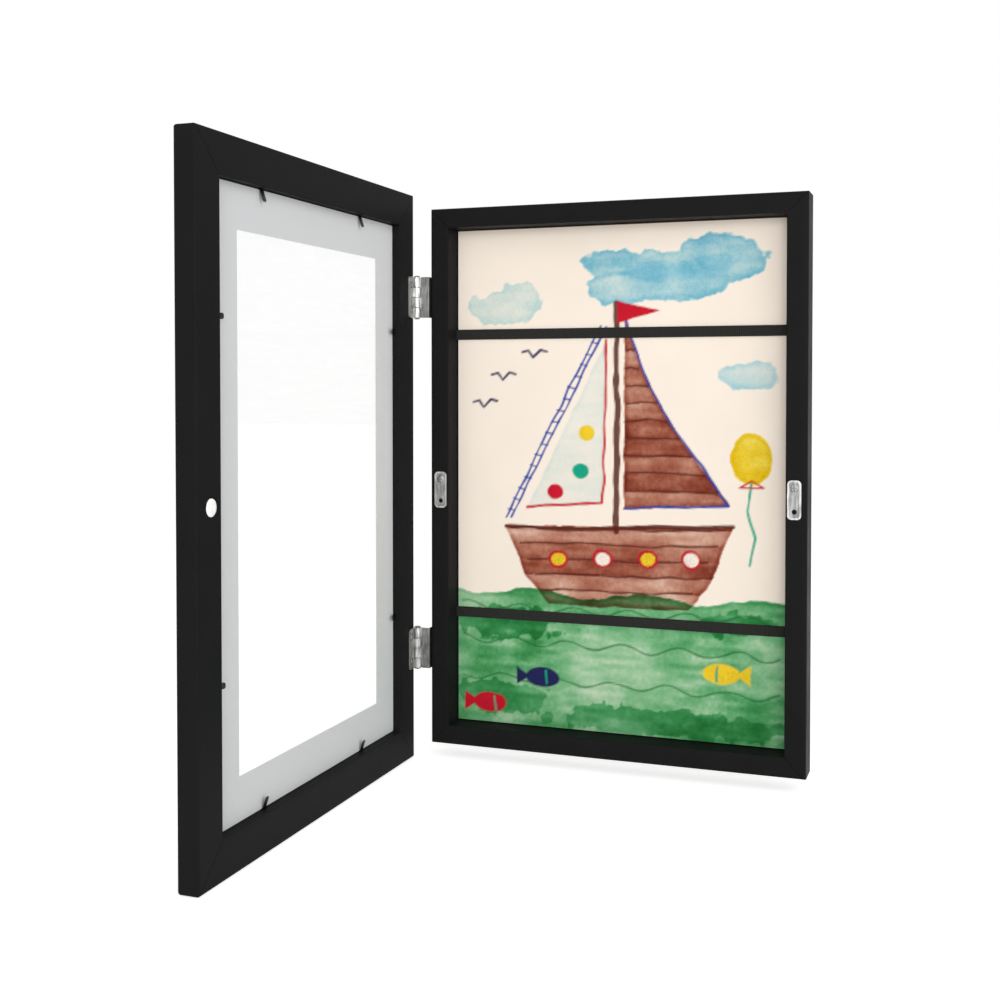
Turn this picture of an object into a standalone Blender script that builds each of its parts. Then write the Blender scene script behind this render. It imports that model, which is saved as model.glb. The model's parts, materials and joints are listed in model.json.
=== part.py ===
"""Front-opening wall frame for children's paintings.

A shallow black wooden box holds a stack of sheets behind two elastic bands. A glazed door with a
pale mat swings on two butt hinges at the left side, and a magnet in its free stile holds it shut.

Metres, +Z up, the front faces -Y. The origin is the middle of the back board's rear face.
The door is modelled shut, hung on an empty on the hinge line and turned open about it.
"""
import math

import bmesh
import bpy
from mathutils import Matrix, Vector

# Clearances
REST_GAP = 0.0003
PANEL_CLEARANCE = 0.0005
SHEET_CLEARANCE = 0.00075
MITRE_GAP = 0.0004
CUT_OVERRUN = 0.001

# Sheets of paper
SHEET_WIDTH = 0.203
SHEET_HEIGHT = 0.305
SHEET_THICKNESS = 0.0004
STACK_THICKNESS = 0.002

# Box
BOX_WALL = 0.012
BOX_DEPTH = 0.021
BOX_FRONT_RADIUS = 0.0026
BOX_REAR_RADIUS = 0.0008
BOX_INNER_RADIUS = 0.0004
REBATE_WIDTH = 0.005
BOARD_THICKNESS = 0.003

# Elastic bands, each end in a blind slot in a stile
BAND_HEIGHT = 0.0063
BAND_THICKNESS = 0.001
BAND_GRIP = 0.006
BAND_HEIGHT_SHARES = {"elastic_band_lower": 0.244, "elastic_band_upper": 0.767}

# Door
DOOR_SIDE_OVERHANG = 0.005
DOOR_END_OVERHANG = 0.008
DOOR_THICKNESS = 0.012
DOOR_GAP = 0.0015
DOOR_BAR_WIDTH = 0.02
DOOR_FRONT_RADIUS = 0.002
DOOR_REAR_RADIUS = 0.0008
FRONT_LIP_WIDTH = 0.025
FRONT_LIP_THICKNESS = 0.003
GLAZING_THICKNESS = 0.002
MAT_THICKNESS = 0.0015
MAT_WINDOW_INSET = 0.0425
OPEN_ANGLE = math.radians(90)

# Bendable tabs that hold the mat and the glazing in the door
TAB_WIDTH = 0.003
TAB_LENGTH = 0.0065
TAB_THICKNESS = 0.0005
TAB_TIP_RADIUS = 0.0011
TAB_ROOT = 0.0015
TAB_LIFT = math.radians(18)
TAB_BEND = math.radians(50)
RAIL_TAB_SHARES = (0.275, 0.73)
STILE_TAB_SHARES = (0.26, 0.757)

# Hinges
HINGE_HEIGHT = 0.025
HINGE_UPPER_DROP = 0.0623
HINGE_LOWER_RISE = 0.0672
HINGE_PIN_OFFSET = 0.0085
KNUCKLE_COUNT = 4
KNUCKLE_RADIUS = 0.0028
KNUCKLE_GAP = 0.0003
PIN_RADIUS = 0.001
PIN_CLEARANCE = 0.0003
PIN_HEAD_RADIUS = 0.002
PIN_HEAD_HEIGHT = 0.0007
LEAF_THICKNESS = 0.0009
LEAF_CORNER_RADIUS = 0.0018
DOOR_LEAF_WIDTH = 0.0075
BOX_LEAF_LEG = 0.011
LEAF_KNUCKLE_CLEARANCE = 0.0004
KNUCKLE_ROOT_STEP = 0.0002
HINGE_SCREW_SPREAD = 0.0075

# Screws and nails: head radius, head height, shank radius, length
HINGE_SCREW = (0.0019, 0.0009, 0.0009, 0.0075)
PLATE_SCREW = (0.0023, 0.0006, 0.0009, 0.008)
BOARD_NAIL = (0.0013, 0.0006, 0.0006, 0.011)
HANGER_NAIL = (0.0014, 0.0006, 0.0006, 0.0085)
SCREW_SINK = 0.0001

# Magnet and the two steel strike plates
MAGNET_RADIUS = 0.0043
MAGNET_SIDE_GAP = 0.0005
MAGNET_THICKNESS = 0.003
MAGNET_INSET = 0.0121
MAGNET_SINK = 0.0001
MAGNET_RISE = 0.0012
PLATE_WIDTH = 0.0078
PLATE_HEIGHT = 0.0222
PLATE_THICKNESS = 0.0011
PLATE_FLOOR = 0.0006
PLATE_RIM = 0.0011
PLATE_CORNER_RADIUS = 0.0024
PLATE_DROP = 0.0075
PLATE_POCKET = 0.0005
PLATE_HOLE_SPREAD = 0.0067
PLATE_HOLE_RADIUS = 0.0014

# Wedge nails across the mitres, one in each corner
WEDGE_LEG = 0.0035
WEDGE_THICKNESS = 0.0005
BOX_WEDGE_INSET = 0.003
BOX_WEDGE_DEPTH = 0.009
DOOR_WEDGE_INSET = 0.01
DOOR_WEDGE_DEPTH = 0.006

# Sawtooth hangers on the rear, one for each way up
HANGER_LENGTH = 0.038
HANGER_WIDTH = 0.0075
HANGER_THICKNESS = 0.0008
HANGER_EDGE_INSET = 0.0015
HANGER_TOOTH_DEPTH = 0.0014
HANGER_TOOTH_RUN_SHARE = 0.62
HANGER_TEETH = 8
HANGER_NAIL_INSET = 0.0035

# Facets
CORNER_STEPS = 5
ROUND_STEPS = 32
SMALL_STEPS = 16
SMOOTH_ANGLE = math.radians(35)
MERGE_DISTANCE = 0.000002

# Sizes and planes that follow from those above
RECESS_WIDTH = SHEET_WIDTH + 2 * SHEET_CLEARANCE
RECESS_HEIGHT = SHEET_HEIGHT + 2 * SHEET_CLEARANCE
BOX_WIDTH = RECESS_WIDTH + 2 * BOX_WALL
BOX_HEIGHT = RECESS_HEIGHT + 2 * BOX_WALL
DOOR_WIDTH = BOX_WIDTH + 2 * DOOR_SIDE_OVERHANG
DOOR_HEIGHT = BOX_HEIGHT + 2 * DOOR_END_OVERHANG
BOX_FRONT = -BOX_DEPTH
BOARD_FRONT = -BOARD_THICKNESS
STACK_FRONT = BOARD_FRONT - REST_GAP - STACK_THICKNESS
SHEET_FRONT = STACK_FRONT - REST_GAP - SHEET_THICKNESS
BAND_REAR = SHEET_FRONT - REST_GAP
BAND_FRONT = BAND_REAR - BAND_THICKNESS
DOOR_REAR = BOX_FRONT - DOOR_GAP
DOOR_FRONT = DOOR_REAR - DOOR_THICKNESS
GLAZING_FRONT = DOOR_FRONT + FRONT_LIP_THICKNESS + REST_GAP
MAT_FRONT = GLAZING_FRONT + GLAZING_THICKNESS + REST_GAP
MAT_REAR = MAT_FRONT + MAT_THICKNESS
TAB_MIDDLE = MAT_REAR + REST_GAP + TAB_THICKNESS / 2
HINGE_LINE = Vector((-BOX_WIDTH / 2 - HINGE_PIN_OFFSET, BOX_FRONT - DOOR_GAP / 2, 0))
HINGE_HEIGHTS = {
    "hinge_upper": DOOR_HEIGHT / 2 - HINGE_UPPER_DROP,
    "hinge_lower": -DOOR_HEIGHT / 2 + HINGE_LOWER_RISE,
}
PLATE_PLACES = {"strike_plate_left": -1, "strike_plate_right": 1}
PLATE_MIDDLE_X = DOOR_WIDTH / 2 - MAGNET_INSET

# Half a facet, by which two round cuts on one line are turned so that their edges never meet
HALF_FACET = math.pi / ROUND_STEPS

# Quarter turns about Y that carry a bottom rail round the frame
SIDE_TURNS = {"rail_bottom": 0, "stile_left": 1, "rail_top": 2, "stile_right": 3}

# Rotations that lay something built along +Z, or drawn in XY, along another axis
ALONG_Y = Matrix.Rotation(math.radians(-90), 4, "X")
ALONG_MINUS_Y = Matrix.Rotation(math.radians(90), 4, "X")
ALONG_X = Matrix.Rotation(math.radians(90), 4, "Y")

# Finish: base colour, roughness, metallic
FINISHES = {
    "black_lacquer": ((0.018, 0.018, 0.019), 0.45, 0.0),
    "hardboard": ((0.30, 0.19, 0.11), 0.8, 0.0),
    "paper": ((0.88, 0.82, 0.74), 0.9, 0.0),
    "mat_board": ((0.60, 0.61, 0.60), 0.9, 0.0),
    "elastic": ((0.015, 0.015, 0.015), 0.8, 0.0),
    "acrylic": ((0.95, 0.97, 0.98), 0.05, 0.0),
    "nickel_steel": ((0.62, 0.62, 0.60), 0.3, 1.0),
    "dark_steel": ((0.10, 0.10, 0.11), 0.4, 1.0),
    "magnet_nickel": ((0.75, 0.74, 0.72), 0.25, 1.0),
}


def clear_scene():
    for item in list(bpy.data.objects):
        bpy.data.objects.remove(item, do_unlink=True)


def finish_material(finish):
    """The named finish as a Principled material, made once."""
    found = bpy.data.materials.get(finish)
    if found:
        return found
    colour, roughness, metallic = FINISHES[finish]
    material = bpy.data.materials.new(finish)
    material.use_nodes = True
    shader = material.node_tree.nodes["Principled BSDF"]
    shader.inputs["Base Color"].default_value = (*colour, 1.0)
    shader.inputs["Roughness"].default_value = roughness
    shader.inputs["Metallic"].default_value = metallic
    return material


def new_piece(name, bm, finish=None, smooth=False):
    """Turn a bmesh into an object. A piece without a finish is a cutting tool."""
    bmesh.ops.recalc_face_normals(bm, faces=bm.faces)
    mesh = bpy.data.meshes.new(name)
    bm.to_mesh(mesh)
    bm.free()
    piece = bpy.data.objects.new(name, mesh)
    bpy.context.scene.collection.objects.link(piece)
    if smooth:
        mesh.shade_smooth()
        mesh.set_sharp_from_angle(angle=SMOOTH_ANGLE)
    if finish:
        mesh.materials.append(finish_material(finish))
    else:
        piece.hide_render = True
        piece.display_type = "WIRE"
    return piece


def combine(piece, tool, operation="DIFFERENCE"):
    """Cut a tool from a piece, or add it, with a live Boolean."""
    step = piece.modifiers.new(tool.name, "BOOLEAN")
    step.operation = operation
    step.solver = "EXACT"
    step.object = tool


def box_low_high(bm, low, high):
    """A rectangular block between two corners."""
    low = Vector(low)
    high = Vector(high)
    place = Matrix.Translation((low + high) / 2) @ Matrix.Diagonal((*(high - low), 1))
    return bmesh.ops.create_cube(bm, size=1, matrix=place)["verts"]


def box_about(bm, middle, size):
    """A rectangular block about its middle."""
    half = Vector(size) / 2
    return box_low_high(bm, Vector(middle) - half, Vector(middle) + half)


def prism(bm, outline, low, high, place=Matrix.Identity(4)):
    """An outline in XY, carried from height low to height high, then placed."""
    base = bm.faces.new([bm.verts.new((x, y, low)) for x, y in outline])
    raised = bmesh.ops.extrude_face_region(bm, geom=[base])["geom"]
    top = [item for item in raised if isinstance(item, bmesh.types.BMVert)]
    bmesh.ops.translate(bm, vec=(0, 0, high - low), verts=top)
    bmesh.ops.transform(bm, matrix=place, verts=top + list(base.verts))


def turned(bm, profile, steps, place=Matrix.Identity(4)):
    """Spin (radius, height) points about Z, then place them; the first and last lie on the axis."""
    before = set(bm.verts)
    points = [bm.verts.new((radius, 0, height)) for radius, height in profile]
    edges = [bm.edges.new(pair) for pair in zip(points, points[1:])]
    bmesh.ops.spin(
        bm, geom=points + edges, cent=(0, 0, 0), axis=(0, 0, 1), angle=math.tau, steps=steps)
    swept = [vert for vert in bm.verts if vert not in before]
    bmesh.ops.remove_doubles(bm, verts=swept, dist=MERGE_DISTANCE)
    swept = [vert for vert in bm.verts if vert not in before]
    bmesh.ops.transform(bm, matrix=place, verts=swept)


def rod_profile(radius, low, high):
    return [(0, low), (radius, low), (radius, high), (0, high)]


def countersunk_profile(sizes, clearance=0, overrun=0):
    """Flat-topped screw or nail, or its hole, along +Z from the head's outer face."""
    head_radius, head_height, shank_radius, length = sizes
    head = head_radius + clearance
    shank = shank_radius + clearance
    mouth = [(0, -overrun), (head, -overrun)] if overrun else [(0, 0)]
    return mouth + [
        (head, clearance),
        (shank, head_height + clearance),
        (shank, length - shank_radius),
        (0, length + clearance),
    ]


def domed_profile(sizes):
    """Screw or nail whose low domed head stands in front of height 0, with its shank along +Z."""
    head_radius, head_height, shank_radius, length = sizes
    return [
        (0, -head_height),
        (head_radius / 2, -head_height),
        (head_radius, -head_height / 3),
        (head_radius, 0),
        (shank_radius, 0),
        (shank_radius, length - shank_radius),
        (0, length),
    ]


def hole_profile(sizes):
    """Plain hole for a domed screw or nail."""
    shank_radius, length = sizes[2:]
    return rod_profile(shank_radius + REST_GAP, -CUT_OVERRUN, length + REST_GAP)


def fasten(places, profile, hole, turn, targets, pivot=None):
    """One screw or nail for each named place, all of one mesh, and one tool that cuts their holes."""
    bm = bmesh.new()
    turned(bm, profile, SMALL_STEPS)
    first = new_piece(next(iter(places)), bm, "nickel_steel", smooth=True)
    holes = bmesh.new()
    pieces = []
    for name, place in places.items():
        stance = Matrix.Translation(place) @ turn
        piece = first
        if pieces:
            piece = bpy.data.objects.new(name, first.data)
            bpy.context.scene.collection.objects.link(piece)
        piece.matrix_basis = stance
        pieces.append(piece)
        turned(holes, hole, SMALL_STEPS, stance)
    tool = new_piece(first.name + "_holes", holes)
    for target in targets:
        combine(target, tool)
    if pivot:
        hang(pivot, tool, *pieces)


def rounded(corners):
    """Outline from (x, y, radius) corners, all square, each turned by an arc of its radius."""
    outline = []
    for index, (x, y, radius) in enumerate(corners):
        corner = Vector((x, y))
        if not radius:
            outline.append((x, y))
            continue
        before = (Vector(corners[index - 1][:2]) - corner).normalized()
        after = (Vector(corners[(index + 1) % len(corners)][:2]) - corner).normalized()
        centre = corner + radius * (before + after)
        for step in range(CORNER_STEPS + 1):
            angle = math.pi / 2 * step / CORNER_STEPS
            point = centre - radius * (math.cos(angle) * after + math.sin(angle) * before)
            outline.append((point.x, point.y))
    return outline


def rounded_rectangle(width, height, radius):
    x = width / 2
    y = height / 2
    return rounded([(-x, -y, radius), (x, -y, radius), (x, y, radius), (-x, y, radius)])


def mitred_bar(name, length, outline, finish):
    """Bar along X with 45 degree ends. Outline points are (inward from the edge, back from the front)."""
    bm = bmesh.new()
    half = length / 2 - MITRE_GAP / 2
    end = bm.faces.new([bm.verts.new((half - inward, back, inward)) for inward, back in outline])
    other_end = bmesh.ops.extrude_face_region(bm, geom=[end])["geom"]
    for item in other_end:
        if isinstance(item, bmesh.types.BMVert):
            item.co.x = -item.co.x
    return new_piece(name, bm, finish, smooth=True)


def four_bars(names, width, height, front, outline, finish):
    """The four mitred bars of a frame, by side name."""
    bars = {}
    for side, turns in SIDE_TURNS.items():
        upright = turns % 2 == 1
        length = height if upright else width
        to_edge = (width if upright else height) / 2
        bar = mitred_bar(names[side], length, outline, finish)
        turn = Matrix.Rotation(math.pi / 2 * turns, 4, "Y")
        bar.rotation_euler = (0, math.pi / 2 * turns, 0)
        bar.location = turn @ Vector((0, front, -to_edge))
        bars[side] = bar
    return bars


def wedge_outline(clearance):
    """L of two legs, drawn from the crossing of their middle lines."""
    half = WEDGE_THICKNESS / 2 + clearance
    reach = WEDGE_LEG + clearance
    return [(-half, -half), (reach, -half), (reach, half), (half, half), (half, reach), (-half, reach)]


def wedge_nails(name, width, height, inset, low, high, overrun, bars):
    """An L-shaped nail across each mitre, from depth low to depth high, and the pockets in the bars."""
    pockets = bmesh.new()
    nails = []
    for side, across in ((-1, "left"), (1, "right")):
        for level, along in ((-1, "bottom"), (1, "top")):
            corner = Vector((side * (width / 2 - inset), 0, level * (height / 2 - inset)))
            stance = Matrix.Translation(corner) @ Matrix.Diagonal((-side, 1, -level, 1)) @ ALONG_MINUS_Y
            bm = bmesh.new()
            prism(bm, wedge_outline(0), -high, -low, stance)
            nails.append(new_piece(f"{name}_{along}_{across}", bm, "nickel_steel"))
            prism(pockets, wedge_outline(REST_GAP), -high - overrun, REST_GAP - low, stance)
    tool = new_piece(name + "_pockets", pockets)
    for bar in bars.values():
        combine(bar, tool)
    return [tool, *nails]


def make_box():
    """The four bars of the box, with their wedge nails."""
    outline = rounded([
        (0, 0, BOX_FRONT_RADIUS),
        (BOX_WALL, 0, BOX_INNER_RADIUS),
        (BOX_WALL, BOX_DEPTH - BOARD_THICKNESS - REST_GAP, 0),
        (BOX_WALL - REBATE_WIDTH, BOX_DEPTH - BOARD_THICKNESS - REST_GAP, 0),
        (BOX_WALL - REBATE_WIDTH, BOX_DEPTH, 0),
        (0, BOX_DEPTH, BOX_REAR_RADIUS),
    ])
    names = {side: "box_" + side for side in SIDE_TURNS}
    bars = four_bars(names, BOX_WIDTH, BOX_HEIGHT, BOX_FRONT, outline, "black_lacquer")
    low = -REST_GAP - BOX_WEDGE_DEPTH
    wedge_nails(
        "box_wedge_nail", BOX_WIDTH, BOX_HEIGHT, BOX_WEDGE_INSET, low, -REST_GAP, CUT_OVERRUN, bars)
    return bars


def make_back(bars):
    """The back board in the rear rebate and the nails round its edge."""
    bm = bmesh.new()
    width = RECESS_WIDTH + 2 * (REBATE_WIDTH - PANEL_CLEARANCE)
    height = RECESS_HEIGHT + 2 * (REBATE_WIDTH - PANEL_CLEARANCE)
    box_low_high(bm, (-width / 2, BOARD_FRONT, -height / 2), (width / 2, 0, height / 2))
    board = new_piece("back_board", bm, "hardboard")

    ledge_x = (RECESS_WIDTH + REBATE_WIDTH) / 2
    ledge_z = (RECESS_HEIGHT + REBATE_WIDTH) / 2
    places = {
        "board_nail_bottom": (0, 0, -ledge_z),
        "board_nail_left": (-ledge_x, 0, 0),
        "board_nail_top": (0, 0, ledge_z),
        "board_nail_right": (ledge_x, 0, 0),
    }
    profile = countersunk_profile(BOARD_NAIL)
    hole = countersunk_profile(BOARD_NAIL, REST_GAP, CUT_OVERRUN)
    fasten(places, profile, hole, ALONG_MINUS_Y, [board, *bars.values()])


def make_papers():
    """The stack of stored sheets and the picture in front of it."""
    for name, rear, front in (
            ("paper_stack", BOARD_FRONT - REST_GAP, STACK_FRONT),
            ("artwork_sheet", STACK_FRONT - REST_GAP, SHEET_FRONT)):
        bm = bmesh.new()
        low = (-SHEET_WIDTH / 2, front, -SHEET_HEIGHT / 2)
        high = (SHEET_WIDTH / 2, rear, SHEET_HEIGHT / 2)
        box_low_high(bm, low, high)
        new_piece(name, bm, "paper")


def make_bands(bars):
    """Two taut elastic bands with their ends pinned in blind slots in the stiles."""
    reach = RECESS_WIDTH / 2 + BAND_GRIP
    middle_depth = (BAND_REAR + BAND_FRONT) / 2
    for name, share in BAND_HEIGHT_SHARES.items():
        level = BOX_HEIGHT * (share - 0.5)
        size = (2 * reach, BAND_THICKNESS, BAND_HEIGHT)
        bm = bmesh.new()
        box_about(bm, (0, middle_depth, level), size)
        new_piece(name, bm, "elastic")

        bm = bmesh.new()
        box_about(bm, (0, middle_depth, level), [length + 2 * REST_GAP for length in size])
        slots = new_piece(name + "_slots", bm)
        for side in ("stile_left", "stile_right"):
            combine(bars[side], slots)


def strike_plate(name, x, z):
    """Pressed steel plate with a raised rim, let a little into the bar's front face."""
    bm = bmesh.new()
    outline = rounded_rectangle(PLATE_WIDTH, PLATE_HEIGHT, PLATE_CORNER_RADIUS)
    seat = BOX_FRONT + PLATE_POCKET - REST_GAP
    place = Matrix.Translation((x, seat, z)) @ ALONG_MINUS_Y
    prism(bm, outline, 0, PLATE_THICKNESS, place)
    plate = new_piece(name, bm, "nickel_steel", smooth=True)

    bm = bmesh.new()
    inner = rounded_rectangle(
        PLATE_WIDTH - 2 * PLATE_RIM, PLATE_HEIGHT - 2 * PLATE_RIM, PLATE_CORNER_RADIUS - PLATE_RIM)
    prism(bm, inner, PLATE_FLOOR, PLATE_THICKNESS + CUT_OVERRUN, place)
    combine(plate, new_piece(name + "_dish", bm))

    bm = bmesh.new()
    hole = rod_profile(PLATE_HOLE_RADIUS, -CUT_OVERRUN, PLATE_THICKNESS + CUT_OVERRUN)
    for side in (-1, 1):
        turned(bm, hole, SMALL_STEPS, place @ Matrix.Translation((0, side * PLATE_HOLE_SPREAD, 0)))
    combine(plate, new_piece(name + "_holes", bm))


def make_strike_plates(bars):
    """One plate on each stile's front face, with a screw in its upper hole."""
    level = -PLATE_DROP
    stiles = (bars["stile_left"], bars["stile_right"])
    pockets = bmesh.new()
    grown = rounded_rectangle(
        PLATE_WIDTH + 2 * REST_GAP, PLATE_HEIGHT + 2 * REST_GAP, PLATE_CORNER_RADIUS + REST_GAP)
    head_seat = BOX_FRONT + PLATE_POCKET - REST_GAP - PLATE_FLOOR - REST_GAP
    screws = {}
    for name, side in PLATE_PLACES.items():
        x = side * PLATE_MIDDLE_X
        strike_plate(name, x, level)
        place = Matrix.Translation((x, BOX_FRONT + PLATE_POCKET, level)) @ ALONG_MINUS_Y
        prism(pockets, grown, 0, PLATE_POCKET + CUT_OVERRUN, place)
        screws[name + "_screw"] = (x, head_seat, level + PLATE_HOLE_SPREAD)
    pocket_tool = new_piece("strike_plate_pockets", pockets)
    for stile in stiles:
        combine(stile, pocket_tool)
    fasten(screws, domed_profile(PLATE_SCREW), hole_profile(PLATE_SCREW), ALONG_Y, stiles)


def make_hangers(bars):
    """A sawtooth hanger for each way up, nailed to the rear of a rail and of a stile."""
    pitch = HANGER_LENGTH * HANGER_TOOTH_RUN_SHARE / HANGER_TEETH
    teeth = []
    for number in range(HANGER_TEETH):
        start = pitch * (number - HANGER_TEETH / 2)
        teeth += [(start, 0), (start + pitch / 2, HANGER_TOOTH_DEPTH)]
    teeth.append((pitch * HANGER_TEETH / 2, 0))
    half = HANGER_LENGTH / 2
    outline = [(-half, 0), *teeth, (half, 0), (half, HANGER_WIDTH), (-half, HANGER_WIDTH)]

    nails = {}
    hangers = []
    for name, turn, to_edge in (
            ("hanger_portrait", 0, BOX_HEIGHT / 2), ("hanger_landscape", 1, BOX_WIDTH / 2)):
        spin = Matrix.Rotation(math.pi / 2 * turn, 4, "Y")
        foot = Vector((0, REST_GAP, to_edge - HANGER_EDGE_INSET - HANGER_WIDTH))
        bm = bmesh.new()
        prism(bm, outline, -HANGER_THICKNESS, 0, spin @ Matrix.Translation(foot) @ ALONG_MINUS_Y)
        hangers.append(new_piece(name, bm, "nickel_steel"))
        for side, label in ((-1, "start"), (1, "end")):
            across = side * (half - HANGER_NAIL_INSET)
            seat = REST_GAP + HANGER_THICKNESS + REST_GAP
            nails[f"{name}_nail_{label}"] = spin @ Vector((across, seat, to_edge - HANGER_NAIL_INSET))
    targets = (*hangers, bars["rail_top"], bars["stile_right"])
    fasten(nails, domed_profile(HANGER_NAIL), hole_profile(HANGER_NAIL), ALONG_MINUS_Y, targets)


def make_door_pivot():
    """Empty on the hinge line that turns the shut door open."""
    pivot = bpy.data.objects.new("door_pivot", None)
    bpy.context.scene.collection.objects.link(pivot)
    pivot.location = HINGE_LINE
    pivot.rotation_euler = (0, 0, -OPEN_ANGLE)
    return pivot


def hang(pivot, *pieces):
    """Parent pieces, placed as in the shut door, to the pivot."""
    for piece in pieces:
        piece.parent = pivot
        piece.matrix_parent_inverse = Matrix.Translation(-HINGE_LINE)


def make_door_frame(pivot):
    """The four bars of the door, with wedge nails buried in the mitres."""
    outline = rounded([
        (0, 0, DOOR_FRONT_RADIUS),
        (FRONT_LIP_WIDTH, 0, DOOR_REAR_RADIUS),
        (FRONT_LIP_WIDTH, FRONT_LIP_THICKNESS, 0),
        (DOOR_BAR_WIDTH, FRONT_LIP_THICKNESS, 0),
        (DOOR_BAR_WIDTH, DOOR_THICKNESS, BOX_INNER_RADIUS),
        (0, DOOR_THICKNESS, DOOR_REAR_RADIUS),
    ])
    names = {
        "rail_bottom": "door_rail_bottom",
        "stile_left": "door_stile_hinge",
        "rail_top": "door_rail_top",
        "stile_right": "door_stile_free",
    }
    bars = four_bars(names, DOOR_WIDTH, DOOR_HEIGHT, DOOR_FRONT, outline, "black_lacquer")
    middle = (DOOR_FRONT + DOOR_REAR) / 2
    low = middle - DOOR_WEDGE_DEPTH / 2
    high = middle + DOOR_WEDGE_DEPTH / 2
    wedges = wedge_nails(
        "door_wedge_nail", DOOR_WIDTH, DOOR_HEIGHT, DOOR_WEDGE_INSET, low, high, REST_GAP, bars)
    hang(pivot, *bars.values(), *wedges)
    return bars


def make_panels(pivot):
    """The clear panel behind the front lip and the mat behind it."""
    width = DOOR_WIDTH - 2 * (DOOR_BAR_WIDTH + PANEL_CLEARANCE)
    height = DOOR_HEIGHT - 2 * (DOOR_BAR_WIDTH + PANEL_CLEARANCE)
    bm = bmesh.new()
    low = (-width / 2, GLAZING_FRONT, -height / 2)
    box_low_high(bm, low, (width / 2, GLAZING_FRONT + GLAZING_THICKNESS, height / 2))
    glazing = new_piece("glazing", bm, "acrylic")

    bm = bmesh.new()
    rings = []
    window_width = DOOR_WIDTH - 2 * MAT_WINDOW_INSET
    window_height = DOOR_HEIGHT - 2 * MAT_WINDOW_INSET
    bevel = 2 * MAT_THICKNESS
    for ring_width, ring_height, depth in (
            (width, height, MAT_FRONT), (width, height, MAT_REAR),
            (window_width, window_height, MAT_REAR),
            (window_width + bevel, window_height + bevel, MAT_FRONT)):
        corners = [(-1, -1), (1, -1), (1, 1), (-1, 1)]
        rings.append([bm.verts.new((x * ring_width / 2, depth, z * ring_height / 2)) for x, z in corners])
    for ring, following in zip(rings, rings[1:] + rings[:1]):
        for corner in range(len(ring)):
            beyond = (corner + 1) % len(ring)
            bm.faces.new((ring[corner], ring[beyond], following[beyond], following[corner]))
    mat = new_piece("mat_board", bm, "mat_board")
    hang(pivot, glazing, mat)


def tab_places():
    """Name, side and distance along the bar from its middle for each tab."""
    places = []
    for share, label in zip(RAIL_TAB_SHARES, ("hinge_side", "free_side")):
        along = DOOR_WIDTH * (share - 0.5)
        places.append(("tab_top_" + label, "rail_top", -along))
        places.append(("tab_bottom_" + label, "rail_bottom", along))
    for share, label in zip(STILE_TAB_SHARES, ("lower", "upper")):
        along = DOOR_HEIGHT * (share - 0.5)
        places.append(("tab_hinge_" + label, "stile_left", -along))
        places.append(("tab_free_" + label, "stile_right", along))
    return places


def make_tabs(pivot, bars):
    """Eight bendable tabs over the mat, with their roots in pockets in the bars."""
    half = TAB_WIDTH / 2
    outline = rounded([
        (-half, -TAB_ROOT, 0), (half, -TAB_ROOT, 0),
        (half, TAB_LENGTH, TAB_TIP_RADIUS), (-half, TAB_LENGTH, TAB_TIP_RADIUS),
    ])
    pockets = bmesh.new()
    swing = TAB_ROOT * math.sin(TAB_LIFT + TAB_BEND) + TAB_THICKNESS / 2 + REST_GAP
    for name, side, along in tab_places():
        turns = SIDE_TURNS[side]
        to_edge = (DOOR_WIDTH if turns % 2 else DOOR_HEIGHT) / 2
        turn = Matrix.Rotation(math.pi / 2 * turns, 4, "Y")
        wall = DOOR_BAR_WIDTH - to_edge
        bm = bmesh.new()
        prism(bm, outline, -TAB_THICKNESS / 2, TAB_THICKNESS / 2, ALONG_MINUS_Y)
        tab = new_piece(name, bm, "dark_steel")
        bend_line = Matrix.Translation((along, TAB_MIDDLE, wall + REST_GAP))
        tab.matrix_basis = turn @ bend_line @ Matrix.Rotation(-TAB_LIFT, 4, "X")
        hang(pivot, tab)
        side_reach = half + REST_GAP
        low = (along - side_reach, TAB_MIDDLE - swing, wall - TAB_ROOT)
        high = (along + side_reach, TAB_MIDDLE + TAB_THICKNESS / 2 + REST_GAP, wall + CUT_OVERRUN)
        verts = box_low_high(pockets, low, high)
        bmesh.ops.transform(pockets, matrix=turn, verts=verts)
    tool = new_piece("tab_pockets", pockets)
    for bar in bars.values():
        combine(bar, tool)
    hang(pivot, tool)


def make_magnet(pivot, bars):
    """Disc magnet let into the inner face of the free stile."""
    x = DOOR_WIDTH / 2 - MAGNET_INSET
    face = DOOR_REAR - MAGNET_SINK
    place = Matrix.Translation((x, face, MAGNET_RISE)) @ ALONG_MINUS_Y
    bm = bmesh.new()
    turned(bm, rod_profile(MAGNET_RADIUS, 0, MAGNET_THICKNESS), ROUND_STEPS, place)
    magnet = new_piece("magnet", bm, "magnet_nickel", smooth=True)
    bm = bmesh.new()
    pocket = rod_profile(MAGNET_RADIUS + MAGNET_SIDE_GAP, -CUT_OVERRUN, MAGNET_THICKNESS + REST_GAP)
    turned(bm, pocket, ROUND_STEPS, place)
    tool = new_piece("magnet_pocket", bm)
    combine(bars["stile_right"], tool)
    hang(pivot, magnet, tool)


def knuckle_spans(owner, low, inset):
    """Lowest and highest point of each knuckle of one leaf, drawn in at both ends."""
    pitch = HINGE_HEIGHT / KNUCKLE_COUNT
    numbers = range(owner, KNUCKLE_COUNT, 2)
    return [(low + pitch * number + inset, low + pitch * (number + 1) - inset) for number in numbers]


def spans_between(spans, low, high):
    """The stretches between low and high that the spans leave free."""
    ends = [low, *[end for span in spans for end in span], high]
    return list(zip(ends[::2], ends[1::2]))


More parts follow.
